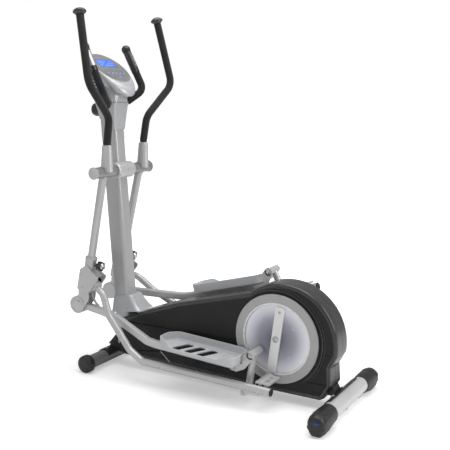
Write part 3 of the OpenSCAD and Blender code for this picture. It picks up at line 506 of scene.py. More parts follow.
def rear_cap():
    """Bulb on the tube end that drops to the floor, with a rounded nose."""
    rings = []
    for y, r, drop in ((168, 34.6, 34.6), (168, 36.6, 36.6), (172, 37.6, 37.6), (186, 38.6, 38.6),
            (208, 39.6, 42), (226, 40.0, 47.5), (240, 40.2, 51.4), (262, 39.8, 52), (284, 38.4, 51.6),
            (296, 35.8, 49), (304, 31.6, 44), (309, 26.4, 37), (312, 19, 27)):
        ring = []
        for k in range(48):
            a = 2 * pi * k / 48
            down = max(0.0, -sin(a))
            wide = 1 + 0.05 * down
            z = 52 + (r * sin(a) if sin(a) > 0 else drop * -min(1.0, 1.10 * down))
            ring.append((651 + r * wide * cos(a), -y, z))
        rings.append(ring)
    return Solid().loft(rings)


pair("rear_cap", rear_cap, "frame", BLACK_PLASTIC, "black_plastic", ["rear_caps"])


def rear_cap_trim():
    """Raised lip round the nose and two dimple rings on the shoulder."""
    lip = [Vector((651 + 35 * cos(a), -301 - 3 * sin(a), 46 + 33 * sin(a)))
        for a in (radians(d) for d in range(188, 353, 8))]
    trim = Solid().sweep(lip, circle(2.0, 10), (0, 1, 0))
    for angle, y in ((62, 258), (30, 280), (118, 262)):
        out = ray(angle)
        trim.lathe([(38.2, 11), (40.2, 10.5), (40.6, 9), (40.2, 7.5), (38.6, 6.5)], (651, -y, 52), out,
            24, True)
    return trim


pair("rear_cap_trim", rear_cap_trim, "frame", GLOSS_BLACK, "black_plastic")


def badge():
    tilt = Matrix.Translation((655, -309.5, 62)) @ Matrix.Rotation(radians(-20), 4, "X")
    flat = turned_shape([(-1, 7.0), (1.8, 7.0), (2.4, 6.2)], (0, 0, 0), steps=32)
    wide = Solid()
    wide.join(flat, tilt @ Matrix.Diagonal((2.3, 1, 0.9, 1)))
    return wide


pair("rear_cap_badge", badge, "frame", BADGE_BLUE, "cap_plastic")

bolts = Solid()
for y in (-60, 60):
    bolts.join(bolt(at(FRONT_FOOT, y) + Vector((0, 0, 36)), (0, 0, 1), 7))
for angle, seat, sides in ((124, 39.5, (-84, 22)), (-60, 34.5, (-36, 108))):
    out = ray(angle)
    for y in sides:
        bolts.join(bolt(at(REAR_FOOT, y) + seat * out, out, 7.5, 5.0))
build("foot_bolts", bolts, "frame", ZINC, "zinc_steel", ["stabilizer_bolts"])

# ---------------------------------------------------------------- mast, boot and neck
LEAN = tan(radians(3.88))


def mast_x(z):
    return -467 - (z - 341) * LEAN


def mast_ring(z, w, d, r, slant=0.0, shift=0.0):
    return [(mast_x(z) + shift + x, y, z + slant * x) for x, y in round_box(w, d, r, 8)]


build("mast_tube", Solid().loft([mast_ring(z, 86, 74, 15) for z in (104, 400, 700, 1000, 1188)]
    + [mast_ring(1192, 78, 66, 13)]), "frame", MAST, "silver_steel", ["mast"])


def boot_ring(t, g=0.0):
    ease = t ** 0.72
    x0, x1 = -513 + 5 * ease + g, -340 - 62 * ease - g
    half = 60 - 15 * ease - g
    low, rise = 258 + 78 * t, (27 - 5 * t) * (x1 - x0) / 173
    return [((x0 + x1) / 2 + x, y, low + rise * (0.5 + x / (x1 - x0))) for x, y in round_box(x1 - x0,
        2 * half, 18 - 3 * t, 6)]


boot = Solid().loft([boot_ring(t) for t in (0, 0.06, 0.2, 0.4, 0.6, 0.8, 0.96)] + [boot_ring(1.0, 1.5),
    boot_ring(1.0, 5)])
build("boot_cover", boot, "frame", SILVER_PLASTIC, "silver_plastic", ["mast_boot"])


def neck_ring(z, x0, x1, half, r, slant=0.0):
    return [((x0 + x1) / 2 + x, y, z - slant * x) for x, y in round_box(x1 - x0, 2 * half, r, 6)]


neck = Solid().loft([neck_ring(1142, -566.5, -475.5, 42.5, 15, 0.6),
    neck_ring(1142.5, -568, -474, 44, 16, 0.6), neck_ring(1160, -569.5, -472, 46, 16, 0.46),
    neck_ring(1190, -573, -468, 50, 16, 0.24), neck_ring(1215, -577, -463.5, 53.5, 16, 0.06),
    neck_ring(1235, -580, -460, 56, 16), neck_ring(1236.5, -578, -462, 54, 15)])
build("neck_shroud", neck, "frame", SILVER_PLASTIC, "silver_plastic", ["neck_cover"], angle=38)

# ---------------------------------------------------------------- console
FACE = Matrix.Translation((-518.6, 0, 1398.6)) @ Matrix.Rotation(radians(38), 4, "Y")
# (depth below the face, radius, how far the chin reaches downhill)
POD = [(-13, 87.5, 0), (-10.2, 88.6, 0), (-9.4, 92, 0), (-9.4, 101, 0), (-9.6, 103.5, 2),
    (-10.6, 105.2, 12), (-13.5, 106.2, 26), (-19, 106.6, 42), (-27, 106.4, 55), (-36, 105.4, 62),
    (-44, 103.2, 62), (-50, 99.8, 57), (-54, 96, 51), (-56, 92, 46), (-57, 84, 38)]


def egg(h, r, chin, n=72):
    """Round ring parallel to the face, drawn out on the downhill side."""
    ring = []
    for i in range(n):
        a = 2 * pi * i / n
        ring.append(FACE @ Vector((r * cos(a) + chin * max(0.0, cos(a)), r * sin(a), h)))
    return ring


def bowl(t, grow=0.0, n=72):
    """Ring of the bowl between the pod, at t = 0, and the neck, at t = 1."""
    ring = []
    for i, top in enumerate(egg(-55, 90 + grow, 36, n)):
        a = 2 * pi * i / n
        foot = Vector((-520 + (60 + grow) * max(-1, min(1, 1.22 * cos(a))),
            (56 + grow) * max(-1, min(1, 1.22 * sin(a))), 1237))
        way = top.lerp(foot, t ** 1.5)
        way.z = top.z + (foot.z - top.z) * t
        ring.append(way)
    return ring


pod = Solid().loft([egg(*level) for level in POD])
pod.loft([bowl(k / 10) for k in range(11)])
build("console_pod", pod, "frame", SILVER_PLASTIC, "silver_plastic", ["console_shell"], angle=50)


def on_bowl(t, a0, a1, half, high):
    """Strip that follows the bowl at t, between two angles of its ring."""
    strip = []
    for i in range(a0, a1 + 1):
        section = [bowl(t + dt, grow)[i] for dt, grow in ((-half, -1.0), (-half, high), (half, high),
            (half, -1.0))]
        strip.append(section)
    return strip


# The louvre gaps are near-black strips of painted shadow between the silver ledges.
louvre_shadows = Solid()
for k in range(6):
    louvre_shadows.loft(on_bowl(0.14 + 0.115 * k, 46, 60 - k, 0.017, 0.6))
build("console_louvre_shadows", louvre_shadows, "frame", SHADOW_BLACK, "silver_plastic")
ledges = Solid()
for k in range(5):
    ledges.loft(on_bowl(0.19 + 0.115 * k, 46, 58 - k, 0.026, 1.4))
build("console_ledges", ledges, "frame", SILVER_PLASTIC, "silver_plastic")


def on_face(shape):
    return Solid().join(shape, FACE)


def slab(x0, x1, y0, y1, z0, z1, r):
    return Solid().loft([[((x0 + x1) / 2 + x, (y0 + y1) / 2 + y, z) for x, y in round_box(x1 - x0 - 2 * g,
        y1 - y0 - 2 * g, r, 4)] for z, g in ((z0, 0), (z1 - 0.6, 0), (z1, 0.6))])


SEAT = -13.0
build("display_glass", on_face(slab(-55.8, -5.2, -57.8, 57.8, SEAT + 0.1, SEAT + 4.6, 3)), "frame",
    screen_material(), "display", ["display"])
frame_edge = Solid()
for x0, x1, y0, y1 in ((-58, -55.4, -60, 60), (-5.6, -3, -60, 60), (-58, -3, -60, -57.4),
        (-58, -3, 57.4, 60)):
    frame_edge.join(slab(x0, x1, y0, y1, SEAT + 4, SEAT + 5.2, 1.0))
build("display_bezel", on_face(frame_edge), "frame", FACE_DARK, "face_plastic")
segments = Solid()
for row, (x, half) in enumerate(((-46, 4.0), (-33, 4.0), (-18, 5.5))):
    for k in range(5):
        y = -42 + 21 * k
        if (row + k) % 4 == 3:
            continue
        for j in range(3):
            segments.join(slab(x - half, x + half, y - 7.5 + 5.2 * j, y - 4.0 + 5.2 * j, SEAT + 4.5,
                SEAT + 4.85, 0.8))
build("display_segments", on_face(segments), "frame", surface("lcd_segment", (0.30, 0.46, 0.95),
    (0.38, 0.55, 1.0), (0.15, 0.25), relief=0.01), "display")
panel = Solid().loft([[(44 + x, y, z) for x, y in round_box(58 - 2 * g, 142 - 2 * g, 25 - g,
    8)] for z, g in ((SEAT + 4.2, 0), (SEAT + 5.3, 0), (SEAT + 5.6, 0.6))])
holes = [Solid().join(Solid().rod((43 if k < 5 else 71, 27 * (k - 2) if k < 5 else 0, SEAT - 2),
    (43 if k < 5 else 71, 27 * (k - 2) if k < 5 else 0, SEAT + 9), 5.4), FACE) for k in range(6)]
build("key_panel", on_face(panel), "frame", FACE_DARK, "face_plastic", cuts=holes)
for k in range(6):
    x, y = (43, 27 * (k - 2)) if k < 5 else (71, 0)
    key = turned_shape([(-15, 3.6), (-14.9, 6.6), (-13.5, 6.6), (-13.4, 4.6), (-7.4, 4.6)] + dome(-7.0,
        4.6, 2.6, -5.5), (x, y, 0), (0, 0, 1), 28)
    build(f"key_{k + 1}", on_face(key), f"button_{k + 1}", BUTTON_BLUE, "button", [f"button_{k + 1}"])

film = turned_shape([(-9.5, 87.2), (-8.5, 87.8), (-8.2, 89), (-8.3, 101.5), (-8.8, 102.6), (-9.5, 102.8)],
    (0, 0, 0), (0, 0, 1), 96, True)
build("face_surround", on_face(film), "frame", FACE_GREY, "face_plastic")
clamp = turned_shape([(-8, 31), (10, 31.5), (26, 30), (34, 27), (39, 21), (42, 12), (42.5, 3)],
    (-572, -16, 1204), (-1, 0, 0), 40)
build("bar_clamp_cover", clamp, "frame", BLACK_PLASTIC, "black_plastic")

# ---------------------------------------------------------------- fixed handlebar
BAR_CORNER, BAR_BOW, BAR_END = Vector((-510, 34, 1210)), Vector((-451, 153, 1293)), Vector((-545, 147,
    1478))
GRIP_START = BAR_CORNER.lerp(BAR_BOW, 0.36)
SENSOR_START = BAR_BOW.lerp(BAR_END, 0.416)
NEAR = Matrix.Diagonal((1, -1, 1, 1))
half_bar = fillet([(-510, 0, 1210), BAR_CORNER, BAR_BOW, BAR_END], 45, 8, False)
whole_bar = [NEAR @ p for p in reversed(half_bar[1:])] + half_bar
build("fixed_bar", Solid().sweep(whole_bar, circle(14, 28), (1, 0, 0)), "frame", BLACK_PLASTIC,
    "tube_steel", ["fixed_handlebar"])


def padded_tube(corners, radius, r, flare=0.0):
    """Foam over a bent tube, with rolled ends."""
    path = fillet(corners, radius, 8, False)
    first, last = (path[1] - path[0]).normalized(), (path[-2] - path[-1]).normalized()
    path = ([path[0], path[0] + first * 1.0, path[0] + first * 4,
        path[0] + first * 14] + path[1:-1] + [path[-1] + last * 14, path[-1] + last * 4,
        path[-1] + last * 1.0, path[-1]])
    ends = [0.86, 0.96, 1.0 + flare, 1.0]
    return Solid().sweep(path, circle(r, 32), (1, 0, 0), ends + [1.0] * (len(path) - 8) + ends[::-1])


def near(*points):
    return [NEAR @ p for p in points]


for grip in pair("fixed_grip", padded_tube(near(GRIP_START, BAR_BOW, SENSOR_START), 45, 17.0), "frame",
        FOAM, "foam", ["fixed_grips"]):
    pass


def sensor():
    start, end = near(SENSOR_START, BAR_END)
    axis = (end - start).normalized()
    length = (end - start).length
    body = turned_shape([(0.5, 15), (0.5, 17.4), (1.5, 18.4), (14, 18.4), (14.5, 17.6), (17, 17.6),
        (17.5, 18.4), (length - 20, 18.4), (length - 19, 17.4), (length - 16, 17.4), (length - 15, 18.6),
        (length - 8, 19.4), (length - 4, 20.4), (length + 2, 21.0), (length + 9, 19.2),
        (length + 15, 14.6), (length + 19, 8.0), (length + 20.6, 1.5)], start, axis, 40)
    return body


def sensor_plates():
    start, end = near(SENSOR_START, BAR_END)
    axis = (end - start).normalized()
    side = axis.cross(Vector((0, 1, 0))).normalized()
    other = axis.cross(side)
    length = (end - start).length
    plates = Solid()
    for turn in (-27, 153):
        rings = []
        for h, g in ((24, 10), (25, 3), (28, 0), (length - 30, 0), (length - 27, 3), (length - 26, 10)):
            angles = [radians(turn - 42 + g + (84 - 2 * g) * i / 10) for i in range(11)]
            rings.append([start + axis * h + r * (cos(a) * side + sin(a) * other) for r, run in ((19.1,
                angles), (17.5, angles[::-1])) for a in run])
        plates.loft(rings)
    return plates


pair("sensor_body", sensor, "frame", GLOSS_BLACK, "black_plastic", ["pulse_sensors"])
pair("sensor_plates", sensor_plates, "frame", ZINC, "zinc_steel")

# ---------------------------------------------------------------- lever shaft and hub
hub = at(LEVER, 0)


pair("hub_collar", turned_shape([(0.4, 30), (0.4, 36.6), (1.2, 37.5), (8, 37.5), (52, 37.5), (54, 37.0),
    (56, 35.0), (60, 33.6), (60, 21)], hub, steps=56, loop=True), "frame", SATIN, "silver_plastic",
    ["hub_collars"])
pair("shaft_end_cap", turned_shape([(200.6, 20.5), (200.6, 27.4), (201.2, 28.0), (204.6, 28.0),
    (205.0, 26.6), (205.6, 26.6), (206.0, 27.4), (207.2, 25.5), (208.2, 20.0), (208.8, 12.0), (209, 3.0)],
    hub, steps=48), "frame", SATIN, "silver_plastic", ["shaft_caps"])


pair("pivot_sleeve", turned_shape([(62, 20.1), (62, 24.4), (63, 25.4), (199, 25.4), (200, 24.4),
    (200, 20.1)], hub, steps=48, loop=True), "lever", DARK_METAL, "dark_steel")

# ---------------------------------------------------------------- swinging levers
BRACKET_TOP = Vector((-555, 529))
ARM_FOOT = BRACKET_TOP + Vector((-15, -70))
SIDE_Y = -133


def lever_tube():
    body = Solid().rod(at(LEVER, SIDE_Y), at(ARM_FOOT, SIDE_Y), 18, 36)
    rings = []
    for k, z in enumerate((932, 950, 975, 1005, 1035, 1048, 1049.5)):
        t = min(1.0, (z - 932) / 116)
        w, d = 60 - 14 * t ** 0.8, 42 - 6 * t
        if k == 6:
            w, d = w - 3, d - 3
        cx, cy = -451 + 4 * t, -133 + t
        rings.append([(cx + x, cy + y, z) for x, y in round_box(w, d, d / 2 - 0.5, 9)])
    return body.loft(rings)


def lever_welds():
    """Weld beads where the sleeve meets the upright and the lower tube."""
    beads = Solid()
    axis = at(ARM_FOOT - LEVER, 0).normalized()
    for spot, direction, w, d in ((Vector((-452, -133, 955)), Vector((0.03, 0, 1)), 29.5, 21.5),
            (at(LEVER, SIDE_Y) + axis * 25.5, axis, 19.5, 19.5)):
        s = Vector((0, 1, 0)).cross(direction).normalized()
        ring = [spot + w * cos(a) * s + d * sin(a) * Vector((0, 1,
            0)) for a in (2 * pi * i / 40 for i in range(40))]
        beads.loft([[p + 2.0 * (cos(b) * (p - spot).normalized() + sin(b) * direction.normalized())
            for b in (2 * pi * j / 8 for j in range(8))] for p in ring], True)
    return beads


pair("lever_arm", lever_tube, "lever", SILVER, "silver_steel", ["swing_arm"])
pair("lever_weld", lever_welds, "lever", SATIN, "silver_steel")

HANDLE_RUN = [Vector(p) for p in ((-448, -132, 985), (-446.5, -132, 1060), (-430, -133, 1171),
    (-403, -296, 1320), (-467, -262, 1602))]
GRIP_LOW = HANDLE_RUN[0].lerp(HANDLE_RUN[1], 0.89)
pair("handle_tube", lambda: Solid().sweep(fillet(HANDLE_RUN, 70, 8, False), circle(14, 28), (1, 0, 0)),
    "lever", SILVER, "tube_steel", ["handle"])
for grip in pair("swing_grip", lambda: padded_tube([GRIP_LOW] + HANDLE_RUN[1:], 70, 17.0), "lever",
        SWING_FOAM, "foam", ["grip"]):
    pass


def mushroom():
    tip = HANDLE_RUN[-1]
    axis = tip - HANDLE_RUN[-2]
    return turned_shape([(0.3, 15), (0.3, 18.2), (2, 19.4), (5, 22.5), (8, 26.2), (10, 28.0), (12, 28.8),
        (14, 28.8), (15.5, 28.2), (16.2, 27.0), (16.6, 27.2), (18.5, 26.0), (22, 22.0), (25.5, 16.0),
        (28, 9.0), (29, 2.0)], tip, axis, 48)


pair("handle_cap", mushroom, "lever", CAP_GREEN, "cap_plastic", ["handle_cap"])


# ---------------------------------------------------------------- lower bracket
def outline(points, radius=6.0, n=4):
    return fillet([Vector(p) for p in points], radius, n)


SHELL_SIDE = [(-600, 478), (-622, 381), (-575, 366), (-546, 374), (-500, 432), (-494, 446), (-535, 470),
    (-560, 500)]
CHEEKS = ((-165, -159.2), (-106.8, -101))


def bracket_shells():
    """Two cheeks with a bridge between them."""
    body = Solid()
    for y0, y1 in CHEEKS:
        body.prism(outline(SHELL_SIDE, 9), y0, y1)
    body.prism(outline([(-606, 470), (-618, 392), (-575, 378), (-563, 396), (-552, 420), (-534, 436),
        (-512, 440), (-535, 462), (-562, 492)], 6), -160, -106)
    return body


def bracket_collar():
    axis = at(BRACKET_TOP - ARM_FOOT, 0)
    low = at(BRACKET_TOP, SIDE_Y) - axis.normalized() * 62
    return turned_shape([(0, 22), (0, 25), (10, 26), (48, 26.5), (58, 28.0), (63, 28.6), (65.5, 27.6),
        (66, 24.5), (66, 18.1)], low, axis, 44)


def bracket_edge():
    """Light strip along the upper rear edge of the outer cheek."""
    path = [Vector((x, -164.2, z)) for x, z in fillet([(-600, 474), (-561, 495), (-536, 466), (-497, 445),
        (-503, 433), (-545, 379)], 6, 4, False)]
    return Solid().sweep(path, round_box(5.0, 3.0, 1.2, 2), (0, 1, 0))


def bracket_neck():
    body = Solid()
    for y0, y1 in ((-159, -155.5), (-110.5, -107)):
        body.prism(outline([(-621, 300), (-584, 300), (-560, 330), (-556, 352), (-558, 386), (-618, 390)],
            6), y0, y1)
    body.prism(outline([(-621, 350), (-596, 356), (-560, 362), (-560, 386), (-618, 386)], 4), -157, -109)
    return body


def bracket_arch():
    """Curved strip between the two openings of the bracket."""
    path = [Vector((x, -113, z)) for x, z in fillet([(-577, 362), (-570, 332), (-548, 305), (-536, 300)],
        22, 6, False)]
    return Solid().sweep(path, round_box(9, 9, 2, 2), (0, 1, 0))


def bar_cover():
    body = Solid()
    body.lathe([(101, 20), (101, 39), (102.5, 41), (107, 41.5), (159, 41.5), (161.5, 41.0), (163, 39.5),
        (163.2, 36.5), (161.8, 35.5), (161.8, 30), (164, 27), (164.9, 20), (165, 6)], at(BAR, 0),
        steps=56)
    return body


def bracket_screws():
    screws = Solid()
    for x, z, r in ((-598, 452, 4.2), (-588, 392, 4.2)):
        screws.join(bolt((x, -164.8, z), LEFTWARD, r, 2.4))
    for turn in (55, 235):
        p = BAR + turned(Vector((24, 0)), turn)
        screws.join(bolt(at(p, -163.6), LEFTWARD, 4.0, 2.6))
    return screws


# Near-black painted shadow inside the bracket, along the coupler pivot and behind its openings.
def bracket_inside_shadow():
    body = Solid().rod(at(COUPLER, -159), at(COUPLER, -107), 8, 24)
    body.prism(outline([(-575, 372), (-548, 376), (-520, 420), (-532, 436), (-560, 420)], 4), -112.5,
        -107.2)
    return body


pair("bracket_shell", bracket_shells, "lever", SILVER, "silver_plastic", ["lower_bracket"], bevel=1.4)
pair("bracket_collar", bracket_collar, "lever", BRIGHT, "silver_plastic")
pair("bracket_edge", bracket_edge, "lever", BRIGHT, "silver_plastic")
pair("bracket_neck", bracket_neck, "lever", SILVER, "silver_plastic", bevel=1.0)
pair("bracket_arch", bracket_arch, "lever", SATIN, "silver_plastic")
pair("bracket_cover", bar_cover, "lever", SILVER, "silver_plastic")
pair("bracket_screws", bracket_screws, "lever", ZINC, "zinc_steel")
pair("bracket_inside_shadow", bracket_inside_shadow, "lever", SHADOW_BLACK, "black_plastic")


def star_knob():
    rings = []
    for h, g in ((-515, 3), (-514.4, 1), (-512, 0), (-495, 0), (-492.4, 1), (-491.4, 3.4), (-491, 6)):
        ring = []
        for i in range(72):
            a = 2 * pi * i / 72
            lobe = 0.5 - 0.5 * cos(6 * a)
            r = 23 - 5.2 * (1 - lobe) ** 2.2 - g
            ring.append((h, -133 + r * cos(a), 495 + r * sin(a)))
        rings.append(ring)
    body = Solid().loft(rings)
    body.lathe([(-542, 4.9), (-526, 4.9), (-525, 8.6), (-513, 9)], (0, -133, 495), (1, 0, 0), 28)
    return body


pair("star_knob", star_knob, "knob", GLOSS_BLACK, "black_plastic", ["pull_knob"], angle=45)
pair("knob_face", turned_shape([(-491.5, 15.2), (-490, 15.2), (-488.6, 14.4), (-486.4, 12.5),
    (-484.4, 8.6), (-483.2, 2)], (0, -133, 495), (1, 0, 0), 40), "knob", CHROME, "zinc_steel")

# ---------------------------------------------------------------- couplers
COUPLER_RUN = [(-519, -137, 389), (-485, -141, 367), (-438, -163, 281), (-309, -181, 144),
    (-232, -189, 105), (406, -192, 92)]


def coupler_plug():
    end = Vector(COUPLER_RUN[-1])
    axis = end - Vector(COUPLER_RUN[-2])
    return turned_shape([(-6, 14.6), (-0.2, 14.6), (0.8, 16.2), (3.0, 16.2), (4.6, 14.6), (5.2, 8),
        (5.0, 2)], end, axis, 32)


def bearing_housing():
    body = turned_shape([(80, 14), (80, 21.8), (81.2, 23), (176.8, 23), (178, 21.8), (178, 12)],
        at(PIN, 0), steps=48)
    body.prism(outline([PIN + Vector(p) for p in ((-19, 10), (48, 10), (48, 19), (-19, 19))], 2.5), -182,
        -88)
    return body


# Near-black rings at both ends of the bearing housing: painted shadow in the gaps there.
def bearing_end_shadows():
    body = turned_shape([(79, 12), (79, 20.5), (79.6, 21.4), (82, 21.4), (82, 12)], at(PIN, 0), steps=40)
    body.lathe([(176.5, 9), (178.3, 9.6), (178.3, 19.4), (176.5, 20)], at(PIN, 0), steps=40)
    return body


def coupler_bolts():
    body = bolt((378, -120, 122.6), (0, 0, 1), 6.5, 3.6)
    body.join(bolt((378, -158, 122.6), (0, 0, 1), 6.5, 3.6))
    body.join(bolt(at(LINK_LOW, -184), LEFTWARD, 6.5, 4))
    body.rod(at(LINK_LOW, -145.5), at(LINK_LOW, -178.2), 9, 24)
    return body


pair("coupler_tube", Solid().sweep(fillet(COUPLER_RUN, 60, 10, False), circle(16.5, 32), (0, 1, 0)),
    "coupler", BRIGHT, "silver_steel", ["coupler"])
pair("coupler_barrel", turned_shape([(108, 12), (108, 18.6), (109.4, 20), (156.6, 20), (158, 18.6),
    (158, 12)], at(COUPLER, 0), steps=40), "coupler", SILVER, "silver_steel")
pair("coupler_plug", coupler_plug, "coupler", BLACK_PLASTIC, "black_plastic")
pair("bearing_housing", bearing_housing, "coupler", SILVER, "silver_steel", bevel=0.8)
pair("bearing_end_shadows", bearing_end_shadows, "coupler", SHADOW_BLACK, "black_plastic")
pair("coupler_bolts", coupler_bolts, "coupler", ZINC, "zinc_steel")
pair("link_hanger", Solid().prism(outline([(262, 57), (268, 48), (280, 48), (300, 60), (346, 62),
    (350, 74), (262, 82)], 5), -184, -178), "coupler", SILVER, "silver_steel", bevel=0.8)


# ---------------------------------------------------------------- rear links
def link_bar(y_top):
    low, top = at(LINK_LOW, -129), at(LINK_TOP, -129)
    axis = (top - low).normalized()
    length = (top - low).length
    body = turned_shape([(0, 14.8), (14, 15.6), (length * 0.5, 15.0), (length - 14, 14.6),
        (length, 14.6)], low, axis, 36)
    body.lathe([(113, 8.2), (113, 14.6), (114.2, 16), (143.8, 16), (145, 14.6), (145, 8.2)],
        at(LINK_LOW, 0), steps=40, loop=True)
    body.lathe([(y_top, 8.2), (y_top, 14.8), (y_top + 1.2, 16), (y_top + 78, 16), (y_top + 80, 15.2),
        (y_top + 82, 13.4), (y_top + 82, 8.2)], at(LINK_TOP, 0), steps=40, loop=True)
    return body


def sleeve_cap(y0, way):
    high = 4.5 if way < 0 else 1.2
    return turned_shape([(0, 12.9)] + dome(0.5, 12.9, 10.5, high), at(LINK_TOP, y0), (0, way, 0), 36)


# The sleeve of the left link runs inboard from the clevis plate, and that of the right link outboard
for side, low_end, closed, way in (("left", 71.5, -71.5, 1), ("right", 81.5, -163.5, -1)):
    place = PLACES[side]["link"]
    build(f"link_bar_{side}", link_bar(low_end), f"link_{side}", SILVER, "silver_steel",
        [f"rear_link_{side}"], place=place)
    build(f"link_cap_{side}", sleeve_cap(closed, way), f"link_{side}", SATIN, "silver_steel", place=place)

# ---------------------------------------------------------------- pedal bars and pedals
BAR_RUN = [(-604, -133, 297), (-570, -130, 291), (-470, -115, 268), (-405, -119, 247), (-232, -149, 189),
    (-187, -152, 183.5), (222, -152, 160.5)]
CLEVIS = [(196, 141), (228, 136), (266, 153), (309, 203), (281, 232), (258, 212), (257, 174), (215, 172),
    (200, 168)]


pair("bar_tube", Solid().sweep(fillet(BAR_RUN, 50, 6, False), round_box(34, 28, 7, 5), (0, 1, 0)),
    "pedal", SILVER, "silver_steel", ["pedal_bar"])
pair("bar_barrel", turned_shape([(108, 12), (108, 26.6), (109.4, 28), (156.6, 28), (158, 26.6),
    (158, 12)], at(BAR, 0), steps=48), "pedal", SILVER, "silver_steel")
for side, y0, bolt_y, way in (("left", -160, -160, -1), ("right", -81, -75, 1)):
    place = PLACES[side]["pedal"]
    body = Solid().prism(outline(CLEVIS, 8, 5), y0, y0 + 6)
    body.lathe([(-y0 - 6, 5), (-y0 - 6, 18), (-y0 - 5, 19), (-y0 - 1, 19), (-y0, 18), (-y0, 5)],
        at(LINK_TOP, 0), steps=40)
    if side == "right":
        body.prism(outline([(196, 141), (222, 138), (240, 153), (240, 160), (200, 160)], 4), -140, -80)
    build(f"clevis_plate_{side}", body, f"pedal_{side}", BRIGHT, "silver_steel", place=place, bevel=0.8)
    head = bolt(at(LINK_TOP, bolt_y), (0, way, 0), 8, 5.5)
    build(f"clevis_bolt_{side}", head, f"pedal_{side}", ZINC, "zinc_steel", place=place)

PEDAL = Matrix.Translation((54, 0, 188)) @ Matrix.Rotation(radians(3.3), 4, "Y")
PLAN = [Vector(p) for p in ((-198, -186), (-126, -228), (184, -228), (198, -214), (198, -108), (168, -78),
    (-158, -78), (-198, -118))]


def wall_height(p):
    """Tall at the inner side and the ends, low along the middle of the outer side."""
    if p.y > -150:
        return 38.0
    low = min(1.0, max(0.0, (p.x + 150) / 45)) * min(1.0, max(0.0, (175 - p.x) / 75))
    outer = min(1.0, max(0.0, (-150 - p.y) / 50))
    return 38.0 - 22.0 * (low * low * (3 - 2 * low)) * outer


def dense(points, step=12.0):
    out = []
    for i, p in enumerate(points):
        q = points[(i + 1) % len(points)]
        n = max(1, round((q - p).length / step))
        out += [p.lerp(q, k / n) for k in range(n)]
    return out


def tray():
    edge = dense(fillet(PLAN, 26, 6))

    def level(gap, z=None, cut=0.0):
        ring = shrink(edge, gap)
        return [PEDAL @ Vector((p.x, p.y, z if z is not None else wall_height(q) - cut))
            for p, q in zip(ring, edge)]

    return Solid().loft([level(3.0, 0.0), level(0.8, 1.2), level(0.0, 3.5), level(0.0, None, 1.4),
        level(0.5, None, 0.4), level(1.5), level(2.6), level(3.6, None, 0.5), level(4.2, None, 1.6),
        level(4.6, 10.0), level(6.0, 6.4), level(9.0, 5.0)])


def slot_cut(k):
    leaf = fillet([Vector(p) for p in ((-38, -42), (4, -46), (42, 42), (0, 46))], 14, 5)
    return Solid().loft([[PEDAL @ Vector((-30 + 62 * k + p.x, -160 + p.y, z)) for p in leaf] for z in (-8,
        20)])


def tread():
    """Raised ribs on the floor of the tray, clear of the slots."""
    ribs = Solid()
    for x0, x1, y in [(-150, 150, -95), (-150, 150, -104), (-110, 150, -214)]:
        ribs.loft([[PEDAL @ Vector((x, y + b, z)) for b, z in ((-1.6, 4.6), (1.6, 4.6), (1.0, 6.6),
            (-1.0, 6.6))] for x in (x0, x1)])
    for x0 in (-174, -163, -152, 106, 118, 130, 142, 154, 166):
        ribs.loft([[PEDAL @ Vector((x0 + b, y, z)) for b, z in ((-1.6, 4.6), (1.6, 4.6), (1.0, 6.6),
            (-1.0, 6.6))] for y in (-192, -125)])
    return ribs


pair("pedal_tray", tray, "pedal", TRAY, "silver_plastic", ["pedal"],
    cuts=[slot_cut(k) for k in (-1, 0, 1)], angle=40)
pair("pedal_ribs", tread, "pedal", TRAY, "silver_plastic")


def slot_shadow_plate():
    """Near-black plate just under the slots, painted shadow seen through them."""
    flat = [(-136, -211), (82, -211), (82, -109), (-136, -109)]
    return Solid().loft([[PEDAL @ Vector((x, y, z)) for x, y in flat] for z in (-1.2, 0.4)])


pair("slot_shadow_plate", slot_shadow_plate, "pedal", SHADOW_BLACK, "black_plastic")

# ---------------------------------------------------------------- drive housing
HOUSING_AT = Vector((392, 268))
side_view = ([Vector(p) for p in ((-455, 62), (-350, 58), (-150, 55), (343, 40), (560, 40), (579, 52),
    (608, 107), (603, 182))] + arc(HOUSING_AT, 241, -8, 131,
    46) + [Vector(p) for p in ((-129, 357), (-283, 304), (-449, 239), (-470, 120))])
side_view = fillet(side_view, 14, 4)


def housing():
    def level(gap, y):
        return [at(p, y) for p in shrink(side_view, gap)]
    return Solid().loft([level(4.0, -50), level(3.0, -46), level(3.0, -0.3), level(0.5, -0.3),
        level(0, -1.0), level(0, -46), level(0.8, -50), level(2.6, -53.5), level(5.6, -56.2),
        level(9.0, -57), level(13.4, -57), level(15.0, -56.4), level(16.0, -54.5), level(18.5, -54.3)])


pair("housing", housing, "frame", HOUSING, "housing_plastic", ["housing_left", "housing_right"], angle=50)


def side_panel():
    flat = shrink(side_view, 18.0)
    inner = shrink(side_view, 21.0)
    return Solid().loft([[at(p, -54.0) for p in flat], [at(p, -54.9) for p in flat],
        [at(p, -55.2) for p in inner]])


pair("housing_side", side_panel, "frame", HOUSING_SIDE, "housing_plastic")


def housing_ridge():
    """Raised arc round the disc and a rib along the upper edge."""
    path = [at(p, -55.4) for p in arc(CRANK, 205, -55, 118, 40)]
    ridge = Solid().sweep(path, round_box(5, 5, 1.6, 2), (0, 1, 0))
    path = [at(p, -55.4) for p in arc(CRANK, 216, -50, 112, 40)]
    return ridge.sweep(path, round_box(3, 4, 1.2, 2), (0, 1, 0))


pair("housing_ridge", housing_ridge, "frame", HOUSING, "housing_plastic")


def housing_screws():
    screws = Solid()
    for x, z in ((-250, 150), (-420, 110), (-60, 90), (150, 70), (590, 120), (-250, 285), (-40, 360)):
        screws.join(bolt((x, -54.8, z), LEFTWARD, 4.0, 1.8))
    return screws


pair("housing_screws", housing_screws, "frame", BLACK_PLASTIC, "black_plastic")
strip = Solid().sweep([at(p, -55.4) for p in (Vector((-229, 113)), Vector((-165, 58)))],
    round_box(3.2, 2.0, 0.8, 2), (0, 1, 0))
build("housing_strip", strip, "frame", SATIN, "housing_plastic")


